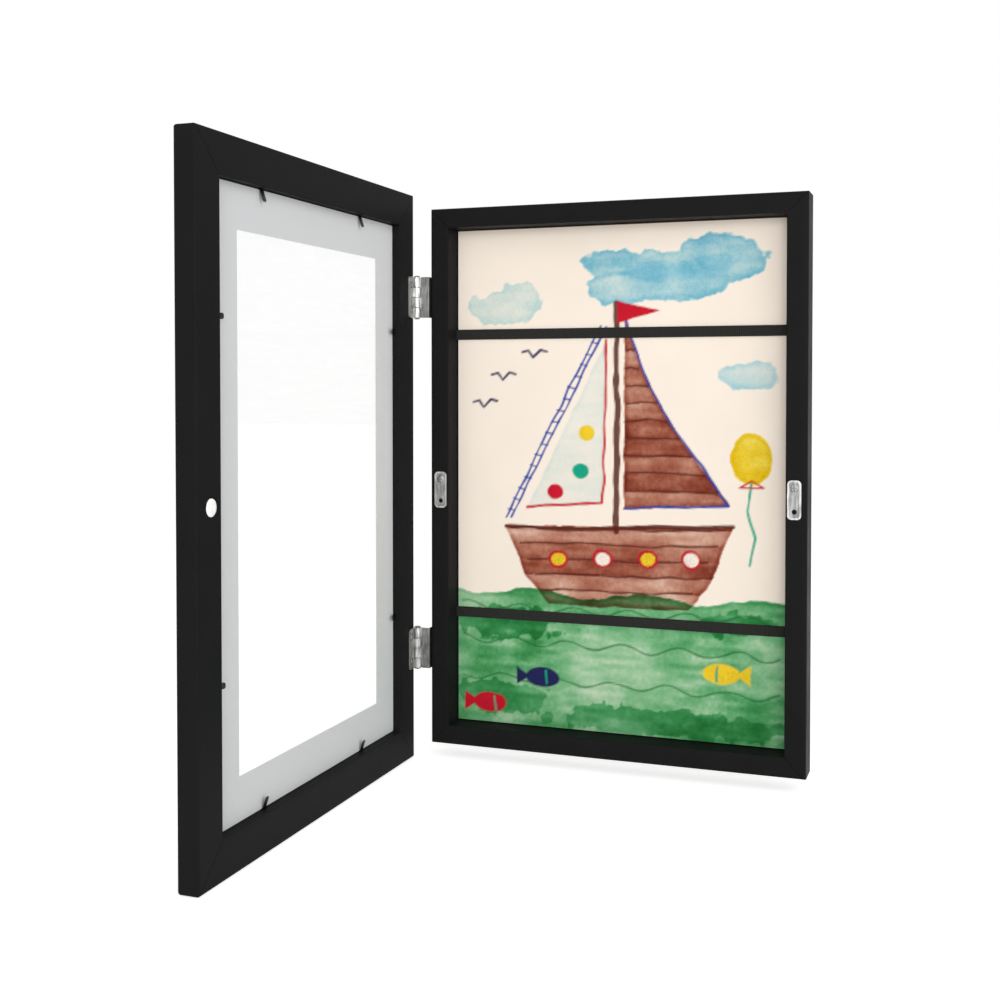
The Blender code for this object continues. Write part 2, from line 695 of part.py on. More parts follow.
def hinge_rods(name, spans, radius, turn=0):
    """Rods on the hinge line, one over each span, with their facets turned about it."""
    bm = bmesh.new()
    place = Matrix.Translation(HINGE_LINE) @ Matrix.Rotation(turn, 4, "Z")
    for start, stop in spans:
        turned(bm, rod_profile(radius, start, stop), ROUND_STEPS, place)
    return new_piece(name, bm)


def make_hinge(name, level, pivot, stile):
    """One butt hinge: a leaf on the box's side, a leaf in the door's inner face, and the pin."""
    low = level - HINGE_HEIGHT / 2
    high = level + HINGE_HEIGHT / 2

    leg_face = -BOX_WIDTH / 2 - REST_GAP
    half = LEAF_THICKNESS / 2
    outline = [
        (HINGE_LINE.x, HINGE_LINE.y - half),
        (leg_face, HINGE_LINE.y - half),
        (leg_face, BOX_FRONT + BOX_LEAF_LEG),
        (leg_face - LEAF_THICKNESS, BOX_FRONT + BOX_LEAF_LEG),
        (leg_face - LEAF_THICKNESS, HINGE_LINE.y + half),
        (HINGE_LINE.x, HINGE_LINE.y + half),
    ]
    bm = bmesh.new()
    prism(bm, outline, low, high)
    round_leaf_corners(bm, 1, BOX_FRONT + BOX_LEAF_LEG, 0)
    box_leaf = new_piece(name + "_box_leaf", bm, "nickel_steel", smooth=True)

    edge = -DOOR_WIDTH / 2 + DOOR_LEAF_WIDTH
    bm = bmesh.new()
    box_low_high(bm, (HINGE_LINE.x, DOOR_REAR - LEAF_THICKNESS, low), (edge, DOOR_REAR, high))
    round_leaf_corners(bm, 0, edge, 1)
    door_leaf = new_piece(name + "_door_leaf", bm, "nickel_steel", smooth=True)

    bm = bmesh.new()
    mortise_low = (-DOOR_WIDTH / 2 - CUT_OVERRUN, DOOR_REAR - LEAF_THICKNESS - REST_GAP, low - REST_GAP)
    box_low_high(bm, mortise_low, (edge + REST_GAP, DOOR_REAR + CUT_OVERRUN, high + REST_GAP))
    mortise = new_piece(name + "_mortise", bm)
    combine(stile, mortise)
    tools = [door_leaf, mortise]

    beyond = (low - CUT_OVERRUN, high + CUT_OVERRUN)
    for leaf, owner in ((door_leaf, 0), (box_leaf, 1)):
        roots = knuckle_spans(owner, low, KNUCKLE_GAP / 2 + KNUCKLE_ROOT_STEP)
        spaces = spans_between(roots, *beyond)
        clear_radius = KNUCKLE_RADIUS + LEAF_KNUCKLE_CLEARANCE
        relief = hinge_rods(leaf.name + "_relief", spaces, clear_radius, HALF_FACET)
        spans = knuckle_spans(owner, low, KNUCKLE_GAP / 2)
        knuckles = hinge_rods(leaf.name + "_knuckles", spans, KNUCKLE_RADIUS)
        bore = hinge_rods(leaf.name + "_bore", [beyond], PIN_RADIUS + PIN_CLEARANCE, HALF_FACET)
        combine(leaf, relief)
        combine(leaf, knuckles, "UNION")
        combine(leaf, bore)
        if leaf is door_leaf:
            tools += [relief, knuckles, bore]
    hang(pivot, *tools)

    bm = bmesh.new()
    start = low - REST_GAP
    stop = high + REST_GAP
    profile = [
        (0, start - PIN_HEAD_HEIGHT), (PIN_HEAD_RADIUS, start - PIN_HEAD_HEIGHT),
        (PIN_HEAD_RADIUS, start), (PIN_RADIUS, start),
        (PIN_RADIUS, stop), (PIN_HEAD_RADIUS, stop),
        (PIN_HEAD_RADIUS, stop + PIN_HEAD_HEIGHT), (0, stop + PIN_HEAD_HEIGHT),
    ]
    turned(bm, profile, ROUND_STEPS, Matrix.Translation(HINGE_LINE))
    new_piece(name + "_pin", bm, "nickel_steel", smooth=True)
    return box_leaf, door_leaf


def round_leaf_corners(bm, axis, far, thickness_axis):
    """Round the two corners at a leaf's far end, whose short edges run through its thickness."""
    corners = []
    for edge in bm.edges:
        ends = [vert.co for vert in edge.verts]
        at_far_end = all(abs(end[axis] - far) < LEAF_THICKNESS / 10 for end in ends)
        run = (ends[0] - ends[1]).normalized()
        if at_far_end and abs(run[thickness_axis]) > 0.9:
            corners.append(edge)
    bmesh.ops.bevel(
        bm, geom=corners, offset=LEAF_CORNER_RADIUS, segments=CORNER_STEPS, affect="EDGES", profile=0.5)


def make_hinges(pivot, box_bars, door_bars):
    """Both hinges and the screws of their leaves."""
    box_targets = [box_bars["stile_left"]]
    door_targets = [door_bars["stile_left"]]
    box_screws = {}
    door_screws = {}
    box_x = -BOX_WIDTH / 2 - REST_GAP - LEAF_THICKNESS + SCREW_SINK
    box_y = BOX_FRONT + BOX_LEAF_LEG / 2
    door_x = -DOOR_WIDTH / 2 + DOOR_LEAF_WIDTH / 2
    for name, level in HINGE_HEIGHTS.items():
        box_leaf, door_leaf = make_hinge(name, level, pivot, door_bars["stile_left"])
        box_targets.append(box_leaf)
        door_targets.append(door_leaf)
        for side, label in ((-1, "lower"), (1, "upper")):
            spot = level + side * HINGE_SCREW_SPREAD
            box_screws[f"{name}_box_screw_{label}"] = (box_x, box_y, spot)
            door_screws[f"{name}_door_screw_{label}"] = (door_x, DOOR_REAR - SCREW_SINK, spot)
    profile = countersunk_profile(HINGE_SCREW)
    hole = countersunk_profile(HINGE_SCREW, REST_GAP, CUT_OVERRUN)
    fasten(box_screws, profile, hole, ALONG_X, box_targets)
    fasten(door_screws, profile, hole, ALONG_MINUS_Y, door_targets, pivot)


def build():
    clear_scene()
    box_bars = make_box()
    make_back(box_bars)
    make_papers()
    make_bands(box_bars)
    make_strike_plates(box_bars)
    make_hangers(box_bars)
    pivot = make_door_pivot()
    door_bars = make_door_frame(pivot)
    make_panels(pivot)
    make_tabs(pivot, door_bars)
    make_magnet(pivot, door_bars)
    make_hinges(pivot, box_bars, door_bars)


build()
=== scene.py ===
"""Finish of a front-opening frame for children's paintings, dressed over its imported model.

The bars, the mat, the clear panel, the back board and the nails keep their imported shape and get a
finish here. The painted sheet, the elastic bands, the pressed plates and hinge leaves, the tabs, the
screws, the hinge pins and the magnet are made here in finer shape and stand for their solids. The
dark glue in the mitres is made here only.
"""

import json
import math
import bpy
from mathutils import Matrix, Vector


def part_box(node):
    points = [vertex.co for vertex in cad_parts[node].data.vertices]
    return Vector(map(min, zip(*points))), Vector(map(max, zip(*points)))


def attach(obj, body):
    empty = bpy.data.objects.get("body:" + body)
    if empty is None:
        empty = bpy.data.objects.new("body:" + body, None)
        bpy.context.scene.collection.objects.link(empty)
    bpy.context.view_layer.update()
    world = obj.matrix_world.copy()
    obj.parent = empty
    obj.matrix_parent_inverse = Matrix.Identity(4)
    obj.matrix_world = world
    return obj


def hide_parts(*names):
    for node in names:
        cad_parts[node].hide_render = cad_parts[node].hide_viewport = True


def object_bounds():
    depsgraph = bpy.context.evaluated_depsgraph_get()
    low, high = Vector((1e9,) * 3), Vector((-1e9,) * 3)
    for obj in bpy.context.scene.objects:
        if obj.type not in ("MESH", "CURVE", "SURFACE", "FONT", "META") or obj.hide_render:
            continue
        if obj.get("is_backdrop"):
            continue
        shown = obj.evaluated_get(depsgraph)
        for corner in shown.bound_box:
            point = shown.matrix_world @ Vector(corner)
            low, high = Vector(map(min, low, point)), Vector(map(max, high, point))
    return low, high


bl_info = {
    "name": "Childrens Art Frame",
    "version": (1, 0, 0),
    "blender": (4, 5, 0),
    "location": "3D View > Sidebar > Art Frame",
    "description": "Finishes a front-opening frame for children's paintings",
    "category": "Object",
}

import bmesh
import bpy
import numpy as np
from bpy.props import FloatProperty, FloatVectorProperty, IntProperty, PointerProperty

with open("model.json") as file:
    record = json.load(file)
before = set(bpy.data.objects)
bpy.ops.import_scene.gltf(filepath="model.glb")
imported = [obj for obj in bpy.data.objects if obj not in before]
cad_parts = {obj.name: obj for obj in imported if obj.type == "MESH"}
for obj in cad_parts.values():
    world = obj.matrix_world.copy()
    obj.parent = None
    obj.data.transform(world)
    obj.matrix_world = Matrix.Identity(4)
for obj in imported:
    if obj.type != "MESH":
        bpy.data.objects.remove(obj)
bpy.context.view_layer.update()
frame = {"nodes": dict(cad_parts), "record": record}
BODY_OF = {
    node: body for body, nodes in frame["record"]["behaviour"]["bodies"].items() for node in nodes}

# Points closer than this are one point, and faces that bend by less than this are one face.
MERGE_DISTANCE = 0.000001
FLAT_ANGLE = math.radians(0.5)
# A mitre face's normal has 0.7 along the bar and 0.7 upwards, so their product is one half.
MITRE_SLANT = 0.49
NO_AREA = 1e-18
GLUE_CLEARANCE = 0.00002
# The mat's backing paper as a share of its thickness.
BACKING_SHARE = 0.04
# How far in from its edges the sheet cockles fully, in metres, and how far apart the cockles are, in
# millimetres.
COCKLE_MARGIN = 0.02
COCKLE_SIZE = 46
# The wave texture repeats after this length at a scale of one.
WAVE_LENGTH = math.tau / 20
# Values in each row and column of the table behind the lumps.
LUMP_TABLE = 97
# How many painted boards go by before their tones come again.
BOARD_TONES = 40
# Where the painted highlight on the knuckles and on the rims starts to fade and is gone: distances from
# the pin line for the hinges, and depths behind the front for the strike plates.
KNUCKLE_FADE = (0.0028, 0.0034)
RIM_FADE = (0.0001, 0.0004)
# Straight edge of a screw's head, and how far below the head its underside meets the shank.
HEAD_EDGE = 0.0001
HEAD_TAPER = 0.0002
# Where the middle of a rounded edge lies, as a share of its radius.
ROUND_SHARE = 0.3
# Points along a band, over one side of its section, across a screw's face and over a pin's dome.
BAND_POINTS = 25
SECTION_POINTS = 73
FACE_POINTS = 25
DOME_POINTS = 7
# Steps round each kind of turned piece.
SCREW_STEPS = 96
PIN_STEPS = 48
MAGNET_STEPS = 72


def linear(hex_colour):
    """An sRGB hex value as linear red, green and blue."""
    parts = [int(hex_colour[start:start + 2], 16) / 255 for start in (1, 3, 5)]
    return tuple(((part + 0.055) / 1.055) ** 2.4 if part > 0.04045 else part / 12.92 for part in parts)


WHITE = linear("#FFFFFF")


def colour(name, description, hex_colour):
    """A colour property whose default is an sRGB hex value."""
    return FloatVectorProperty(
        name=name, description=description, subtype="COLOR", size=3, min=0, max=1,
        default=linear(hex_colour))


def quantity(name, description, value, **options):
    """A number property."""
    return FloatProperty(name=name, description=description, default=value, **options)


def length(name, description, metres):
    """A length property in metres."""
    return quantity(name, description, metres, min=0, unit="LENGTH")


def position(name, description, metres):
    """A place property, with x, y and z in metres."""
    return FloatVectorProperty(
        name=name, description=description, default=metres, subtype="TRANSLATION", size=3)


class FinishSettings(bpy.types.PropertyGroup):
    """Colours of the bars, boards, bands and metal."""
    lacquer: colour("Lacquer", "Satin black lacquer on the bars", "#1A1A1B")
    lacquer_worn: colour("Lacquer, Thin", "Lacquer where it is a little thinner", "#202021")
    mat_back: colour("Mat Back", "Pale grey backing paper of the mat", "#DEE0E2")
    mat_front: colour("Mat Front", "Front paper and core of the mat", "#F4F3EF")
    board: colour("Back Board", "Brown hardboard", "#8B6A49")
    board_fibre: colour("Back Board Fibre", "Darker fibres in the hardboard", "#6F5236")
    nickel: colour("Nickel", "Bright nickel plating", "#D0D0CE")
    # Painted shade on the hinge leaves, against their bright knuckles; on the nails, a dull tone in
    # random patches.
    nickel_shade_and_dull_tone: colour("Nickel, Dull", "Plating that no hand or door rubs", "#BEBEBC")
    # Painted shade on the sunken floors of the strike plates, against their bright rims; on the screws,
    # their plain zinc colour.
    floor_shade_and_screw_zinc: colour("Plate Floor", "Sunken floor of the strike plates", "#A9A9A8")
    spring_steel: colour("Spring Steel", "Dark blued steel of the tabs", "#3A3B3E")
    magnet: colour("Magnet", "Pale tumbled plating on the magnet", "#FBFBFA")
    elastic: colour("Elastic", "Black yarn of the bands", "#1D1D1C")


class PaintingSettings(bpy.types.PropertyGroup):
    """Paper and paints of the picture."""
    paper: colour("Paper", "Cream drawing paper", "#F6E9DB")
    sky: colour("Sky Wash", "Pale blue wash", "#95C6D1")
    mist: colour("Mist Wash", "Thin blue green wash", "#D2DDD5")
    rust: colour("Rust", "Rust brown wash of hull and sail", "#A6634E")
    brown: colour("Dark Brown", "Brown lines", "#5A2318")
    sea: colour("Sea", "Green wash", "#318544")
    sea_dark: colour("Sea, Dark", "Second green wash", "#1C7034")
    yellow: colour("Yellow", "Yellow paint", "#EAC628")
    red: colour("Red", "Red paint", "#C3122A")
    blue: colour("Blue", "Blue brush line", "#1F3F9E")
    navy: colour("Navy", "Dark blue brush line", "#1D2250")
    teal: colour("Teal", "Teal paint", "#12A383")
    columns: IntProperty(
        name="Columns", description="Steps across the sheet", default=248, min=20, max=248)
    rows: IntProperty(name="Rows", description="Steps up the sheet", default=372, min=30, max=372)
    cockle: length("Cockle", "How far damp paint lifts the paper", 0.00016)


class FittingSettings(bpy.types.PropertyGroup):
    """Sizes of the small fittings."""
    glue_film: length("Glue Film", "Thickness of the dark glue in a mitre", 0.00024)
    glue_sink: length("Glue Sink", "How far the glue stops below the faces of the bars", 0.0002)
    ribs: IntProperty(name="Ribs", description="Cords side by side in an elastic band", default=9, min=1)
    rib_depth: length("Rib Depth", "Depth of the groove between two cords", 0.00012)
    pick: length("Pick", "Spacing of the yarns across a band, drawn coarse enough to show", 0.0011)
    pressed_edge: length("Pressed Edge", "Rounding on the edges of pressed steel", 0.0002)
    leaf_edge: length("Leaf Edge", "Rounding on the edges of the hinge leaves", 0.00012)
    tab_edge: length("Tab Edge", "Rounding on the edges of the tabs", 0.00008)
    recess_depth: length("Recess Depth", "Depth of the cross in a screw head", 0.00055)
    recess_width: length("Recess Width", "Width of the arms of the cross", 0.00052)
    recess_slope: length("Recess Slope", "How wide the sloping side of the cross is", 0.00016)
    recess_share: quantity("Recess Reach", "Reach of the cross as a share of the head's radius", 0.62)
    plate_screw_head: length("Plate Screw Head", "Height of the heads on the strike plates", 0.0012)
    plate_screw_dome: length("Plate Screw Dome", "How far those heads bulge", 0.0006)
    leaf_screw_head: length("Leaf Screw Head", "Height of the heads in the hinge leaves", 0.0009)
    leaf_screw_dome: length("Leaf Screw Dome", "How far those heads bulge", 0.0001)
    shank_share: quantity("Shank", "Radius of a screw's shank as a share of its head's", 0.46)
    pin_head: length("Pin Head", "Height of the dome on each end of a hinge pin", 0.0007)
    magnet_chamfer: length("Magnet Chamfer", "Bevel round the magnet's face", 0.00035)


class StageSettings(bpy.types.PropertyGroup):
    """Camera, floor and light."""
    camera_place: position("Camera Place", "Where the camera stands", (0.20208, -0.76124, 0.05714))
    camera_turn: quantity("Camera Turn", "Turn to the left of straight ahead", 0.3503, subtype="ANGLE")
    camera_tilt: quantity("Camera Tilt", "Tilt below the level", 0.0237, subtype="ANGLE")
    focal_share: quantity("Focal Share", "Focal length as a share of the picture's width", 1.30169)
    shift_share: quantity("Shift", "Vertical shift for the framing of the view", -0.0844)
    floor_drop: length("Floor Drop", "Height of the lowest corner over the floor", 0.0005)
    floor_size: length("Floor Size", "Side of the floor", 12.0)
    floor: colour("Floor", "Pale studio floor", "#F7F7F5")
    floor_glow: quantity("Floor Glow", "Light that the floor adds only for the camera and mirrors", 0.62)
    key_power: quantity("Key Power", "Soft light from the right", 21.0, unit="POWER")
    key_place: position("Key Place", "Where the right lamp hangs", (1.7, -1.0, 0.8))
    key_size: length("Key Size", "Side of the right lamp", 2.4)
    front_power: quantity("Front Power", "Soft light from the front", 20.5, unit="POWER")
    front_place: position("Front Place", "Where the front lamp hangs", (0.45, -2.2, 0.42))
    front_size: length("Front Size", "Side of the front lamp", 1.2)
    sky_strength: quantity("Sky Strength", "Even light from all round", 0.42)


def output_of(value):
    """The output a value stands for, or None: a node for its first one in use, (node, name) for
    another."""
    if isinstance(value, bpy.types.Node):
        return next(socket for socket in value.outputs if socket.enabled)
    if isinstance(value, tuple) and isinstance(value[0], bpy.types.Node):
        return value[0].outputs[value[1]]
    return None


def add_node(tree, kind, *values, **named):
    """One node of a kind. Values fill its inputs in order, and capitalised names are inputs too; the
    other names are its settings."""
    made = tree.nodes.new("ShaderNode" + kind)
    chosen = {}
    for name, value in named.items():
        if name.islower():
            setattr(made, name, value)
        else:
            chosen[name.replace("_", " ")] = value
    inputs = [socket for socket in made.inputs if socket.enabled]
    by_name = [(socket, chosen[socket.name]) for socket in inputs if socket.name in chosen]
    for socket, value in [*zip(inputs, values), *by_name]:
        source = output_of(value)
        if source:
            tree.links.new(source, socket)
        elif socket.type == "RGBA":
            socket.default_value = (*value, 1.0)
        else:
            socket.default_value = value
    return made


def start_material(name):
    """A material, its node tree and the place of a point in the object's own frame."""
    material = bpy.data.materials.new(name)
    material.use_nodes = True
    tree = material.node_tree
    tree.nodes.clear()
    return material, tree, (add_node(tree, "TexCoord"), "Object")


def finished(material, **inputs):
    """The material, ended by a Principled shader with these inputs."""
    tree = material.node_tree
    add_node(tree, "OutputMaterial", add_node(tree, "BsdfPrincipled", **inputs))
    return material


def seen_directly(tree):
    """One for rays of the camera, of mirrors and of clear sheets, and zero for those of soft light."""
    rays = add_node(tree, "LightPath")
    seen = add_node(tree, "Math", (rays, "Is Camera Ray"), (rays, "Is Glossy Ray"), operation="MAXIMUM")
    return add_node(tree, "Math", seen, (rays, "Is Transmission Ray"), operation="MAXIMUM")


def satin_lacquer(name, along):
    """Satin black lacquer, sprayed on planed wood: a sheen so low that the bars stay evenly dark, faint
    pores along the bar and a little orange peel. Pores are about 0.6 mm wide and 20 mm long; the peel
    has lumps of 1.5 mm."""
    settings = bpy.context.scene.frame_finish
    material, tree, where = start_material(name)
    run = [1.0, 1.0, 1.0]
    run[along] = 0.03
    stretched = add_node(tree, "Mapping", where, Scale=run)
    pores = add_node(tree, "TexNoise", stretched, 1 / 0.0006, 2.0)
    peel = add_node(tree, "TexNoise", where, 1 / 0.0015, 1.0)
    patches = add_node(tree, "TexNoise", where, 1 / 0.02, 3.0)
    tint = add_node(tree, "Mix", patches, settings.lacquer, settings.lacquer_worn, data_type="RGBA")
    gloss = add_node(tree, "MapRange", patches, 0.3, 0.7, 0.40, 0.50)
    grain = add_node(tree, "Bump", Height=pores, Strength=0.25, Distance=0.00006)
    skin = add_node(tree, "Bump", Height=peel, Strength=0.2, Distance=0.00008, Normal=grain)
    return finished(material, Base_Color=tint, Roughness=gloss, Normal=skin, Specular_IOR_Level=0.02)


def dark_glue():
    """Wood glue in the mitres, blackened by lacquer that ran in: nearly black and dull, with grains
    about 0.5 mm across."""
    settings = bpy.context.scene.frame_finish
    material, tree, where = start_material("lacquered_wood_glue")
    grains = add_node(tree, "TexNoise", where, 1 / 0.0005, 3.0)
    tint = add_node(tree, "Mix", grains, settings.lacquer, settings.lacquer_worn, data_type="RGBA")
    bump = add_node(tree, "Bump", Height=grains, Strength=0.3, Distance=0.00006)
    return finished(material, Base_Color=tint, Roughness=0.7, Normal=bump, Specular_IOR_Level=0.02)


def mat_card(core_low, core_high):
    """Mat board: 1.5 mm card, white on the front and on the bevel's cut core, with pale grey backing
    paper. Dull, with short fibres about 0.8 mm apart that just show."""
    settings = bpy.context.scene.frame_finish
    material, tree, where = start_material("mat_board_card")
    parts = add_node(tree, "SeparateXYZ", where)
    is_back = add_node(tree, "MapRange", (parts, "X"), core_low, core_high, 0.0, 1.0)
    fibres = add_node(tree, "TexNoise", where, 1 / 0.0008, 5.0, 0.65)
    clouds = add_node(tree, "TexNoise", where, 1 / 0.03, 2.0)
    shade = tuple(part * 0.90 for part in settings.mat_back)
    fibrous = add_node(tree, "Mix", fibres, settings.mat_back, shade, data_type="RGBA")
    cloudy = add_node(tree, "MapRange", clouds, 0.3, 0.7, 0.0, 0.25)
    backing = add_node(tree, "Mix", cloudy, fibrous, shade, data_type="RGBA")
    face = add_node(tree, "Mix", is_back, settings.mat_front, backing, data_type="RGBA")
    bump = add_node(tree, "Bump", Height=fibres, Strength=0.3, Distance=0.00008)
    return finished(material, Base_Color=face, Roughness=0.88, Normal=bump, Specular_IOR_Level=0.25)


def clear_acrylic():
    """Clear cast acrylic sheet, IOR 1.49. It is thin enough to be seen straight through, with a slight
    white veil and the faint haze of wiping marks about 4 mm apart."""
    material, tree, where = start_material("clear_acrylic_sheet")
    wiped = add_node(tree, "Mapping", where, Scale=(1.0, 0.15, 1.0))
    haze = add_node(tree, "TexNoise", wiped, 1 / 0.004, 3.0)
    veil = add_node(tree, "MapRange", haze, 0.3, 0.8, 0.04, 0.08)
    rough = add_node(tree, "MapRange", haze, 0.3, 0.8, 0.03, 0.12)
    return finished(material, Base_Color=linear("#FCFDFD"), Roughness=rough, IOR=1.49, Alpha=veil)


def brown_hardboard():
    """Hardboard pressed from wood fibre: brown, dull, with flecks and fibres 1 mm across."""
    settings = bpy.context.scene.frame_finish
    material, tree, where = start_material("brown_hardboard")
    fibres = add_node(tree, "TexNoise", where, 1 / 0.001, 6.0, 0.7)
    clouds = add_node(tree, "TexNoise", where, 1 / 0.012, 3.0)
    flecks = add_node(tree, "Mix", fibres, settings.board, settings.board_fibre, data_type="RGBA")
    tint = add_node(tree, "Mix", clouds, flecks, settings.board, data_type="RGBA")
    bump = add_node(tree, "Bump", Height=fibres, Strength=0.5, Distance=0.00015)
    return finished(material, Base_Color=tint, Roughness=0.75, Normal=bump)


def painted_paper():
    """Watercolour on cold-pressed paper: dull, with a tooth about 0.8 mm across in which the paint
    settles in darker grains. The picture is the sheet's paint attribute, with the load of pigment in its
    alpha."""
    material, tree, where = start_material("watercolour_on_paper")
    paint = add_node(tree, "Attribute", attribute_name="paint")
    tooth = add_node(tree, "TexNoise", where, 1 / 0.0008, 4.0, 0.65)
    settled = add_node(tree, "MapRange", tooth, 0.42, 0.7, 0.0, 0.4)
    held = add_node(tree, "Math", settled, (paint, "Alpha"), operation="MULTIPLY")
    left = add_node(tree, "MapRange", held, 0.0, 1.0, 1.04, 0.04)
    tint = add_node(tree, "VectorMath", paint, Scale=left, operation="SCALE")
    bump = add_node(tree, "Bump", Height=tooth, Strength=0.35, Distance=0.0001)
    return finished(material, Base_Color=tint, Roughness=0.9, Normal=bump, Specular_IOR_Level=0.2)


def stacked_paper():
    """Edges of stored sheets: cream with painted shade in lines between sheets, drawn 0.25 mm apart to
    show.
    """
    settings = bpy.context.scene.frame_painting
    material, tree, where = start_material("stacked_paper")
    lines = add_node(tree, "TexWave", where, WAVE_LENGTH / 0.00025, Distortion=0.4, bands_direction="Y")
    shade = tuple(part * 0.72 for part in settings.paper)
    tint = add_node(tree, "Mix", (lines, "Fac"), settings.paper, shade, data_type="RGBA")
    return finished(material, Base_Color=tint, Roughness=0.92)


def woven_elastic():
    """Woven elastic: matt black yarn over rubber cords, with picks across the band and a slight fuzz."""
    finish = bpy.context.scene.frame_finish
    fittings = bpy.context.scene.frame_fittings
    material, tree, where = start_material("woven_black_elastic")
    picks = add_node(
        tree, "TexWave", where, WAVE_LENGTH / fittings.pick, Distortion=0.6, bands_direction="X")
    fuzz = add_node(tree, "TexNoise", where, 1 / 0.0004, 3.0)
    lighter = tuple(min(part * 2.1, 1.0) for part in finish.elastic)
    tint = add_node(tree, "Mix", (picks, "Fac"), finish.elastic, lighter, data_type="RGBA")
    weave = add_node(tree, "Bump", Height=(picks, "Fac"), Strength=0.6, Distance=0.0001)
    skin = add_node(tree, "Bump", Height=fuzz, Strength=0.4, Distance=0.00006, Normal=weave)
    return finished(material, Base_Color=tint, Roughness=0.85, Normal=skin, Specular_IOR_Level=0.2)


def plated_steel(name, bright, dull, low, high, spacing, painted_light_share=None, darkest=0.66):
    """Pressed steel under plating: bright where the painted light share gives a painted highlight, and
    duller where it gives painted shade, or dull and bright in random patches without that share; with
    rolling streaks upwards, at the spacing, that darken it to the darkest share, and a blur between the
    low and the high roughness."""
    material, tree, where = start_material(name)
    rolled = add_node(tree, "Mapping", where, Scale=(1.0, 1.0, 0.12))
    streaks = add_node(tree, "TexNoise", rolled, 1 / spacing, 3.0, 0.6)
    clouds = add_node(tree, "TexNoise", where, 1 / 0.005, 2.0)
    # Painted highlight where the share is one and painted shade where it is zero.
    share = painted_light_share(tree, where) if painted_light_share else clouds
    tint = add_node(tree, "Mix", share, dull, bright, data_type="RGBA")
    streaked = add_node(tree, "MapRange", streaks, 0.4, 0.62, 1.0, darkest)
    cloudy = add_node(tree, "MapRange", clouds, 0.36, 0.62, (1 + darkest) / 2, 1.05)
    both = add_node(tree, "Math", streaked, cloudy, operation="MULTIPLY")
    shaded = add_node(tree, "VectorMath", tint, Scale=both, operation="SCALE")
    rough = add_node(tree, "MapRange", streaks, 0.3, 0.7, low, high)
    bump = add_node(tree, "Bump", Height=streaks, Strength=0.2, Distance=0.00003)
    return finished(material, Base_Color=shaded, Metallic=1.0, Roughness=rough, Normal=bump)


def knuckle_highlight_share(tree, where):
    """One on the knuckles round the pin line, which get a painted highlight, and zero on the leaves,
    which get painted shade.
    """
    joints = frame["record"]["behaviour"]["joints"]
    pin = next(joint["pos_m"] for joint in joints if joint["name"] == "door_hinge")
    level = add_node(tree, "VectorMath", where, (1.0, 1.0, 0.0), operation="MULTIPLY")
    reach = add_node(tree, "VectorMath", level, (pin[0], pin[1], 0.0), operation="DISTANCE")
    return add_node(tree, "MapRange", reach, *KNUCKLE_FADE, 1.0, 0.0)


def rim_highlight_share(tree, where):
    """One on the raised rims of the strike plates, which get a painted highlight, and zero on their
    sunken floors, which get painted shade.
    """
    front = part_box("strike_plate_left")[0].y
    parts = add_node(tree, "SeparateXYZ", where)
    start, end = [front + depth for depth in RIM_FADE]
    return add_node(tree, "MapRange", (parts, "Y"), start, end, 1.0, 0.0)


def dress(material, *nodes):
    """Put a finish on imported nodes."""
    for name in nodes:
        for slot in frame["nodes"][name].material_slots:
            slot.material = material


def put(name, data):
    """A new object in the scene, at the origin."""
    made = bpy.data.objects.new(name, data)
    bpy.context.scene.collection.objects.link(made)
    return made


def merge(mesh, flat_faces=False):
    """Merge doubled points, and flat neighbours too where asked."""
    bm = bmesh.new()
    bm.from_mesh(mesh)
    bmesh.ops.remove_doubles(bm, verts=bm.verts, dist=MERGE_DISTANCE)
    if flat_faces:
        bmesh.ops.dissolve_limit(bm, angle_limit=FLAT_ANGLE, verts=bm.verts, edges=bm.edges)
    bm.to_mesh(mesh)
    bm.free()


def outward(points, faces):
    """The four-sided faces, turned round if the solid they bound has a negative volume: the sum over
    their triangles of first . (second x third)."""
    first = points[faces[:, 0]]
    volume = 0.0
    for second, third in ((1, 2), (2, 3)):
        cross = np.cross(points[faces[:, second]], points[faces[:, third]])
        volume += np.einsum("ij,ij->", first, cross)
    return faces if volume > 0 else faces[:, ::-1]


def joined(name, points, faces, material):
    """A piece from points and faces, with doubled points merged."""
    mesh = bpy.data.meshes.new(name)
    mesh.from_pydata(points, [], faces)
    merge(mesh)
    mesh.shade_smooth()
    mesh.materials.append(material)
    return put(name, mesh)


def lattice(rows, columns, wrap=False):
    """Four-sided faces over a grid of points, row after row; wrap joins the last column to the first."""
    row = np.arange(rows - 1)[:, None] * columns
    column = np.arange(columns if wrap else columns - 1)[None, :]
    beyond = (column + 1) % columns
    corners = (row + column, row + beyond, row + columns + beyond, row + columns + column)
    return np.stack(corners, axis=-1).reshape(-1, 4)


def stands_for(piece, node):
    """The piece takes the node's place on the node's body."""
    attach(piece, BODY_OF[node])
    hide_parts(node)


def round_piece(name, rings, material, node, sharp):
    """A closed piece over rings of points, sharp where it bends by more degrees than given, in the
    node's place."""
    points = rings.reshape(-1, 3)
    faces = lattice(*rings.shape[:2], wrap=True)
    piece = joined(name, points, outward(points, faces), material)
    piece.data.set_sharp_from_angle(angle=math.radians(sharp))
    stands_for(piece, node)


def low_high(node):
    """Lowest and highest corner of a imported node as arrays."""
    low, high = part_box(node)
    return np.array(low), np.array(high)


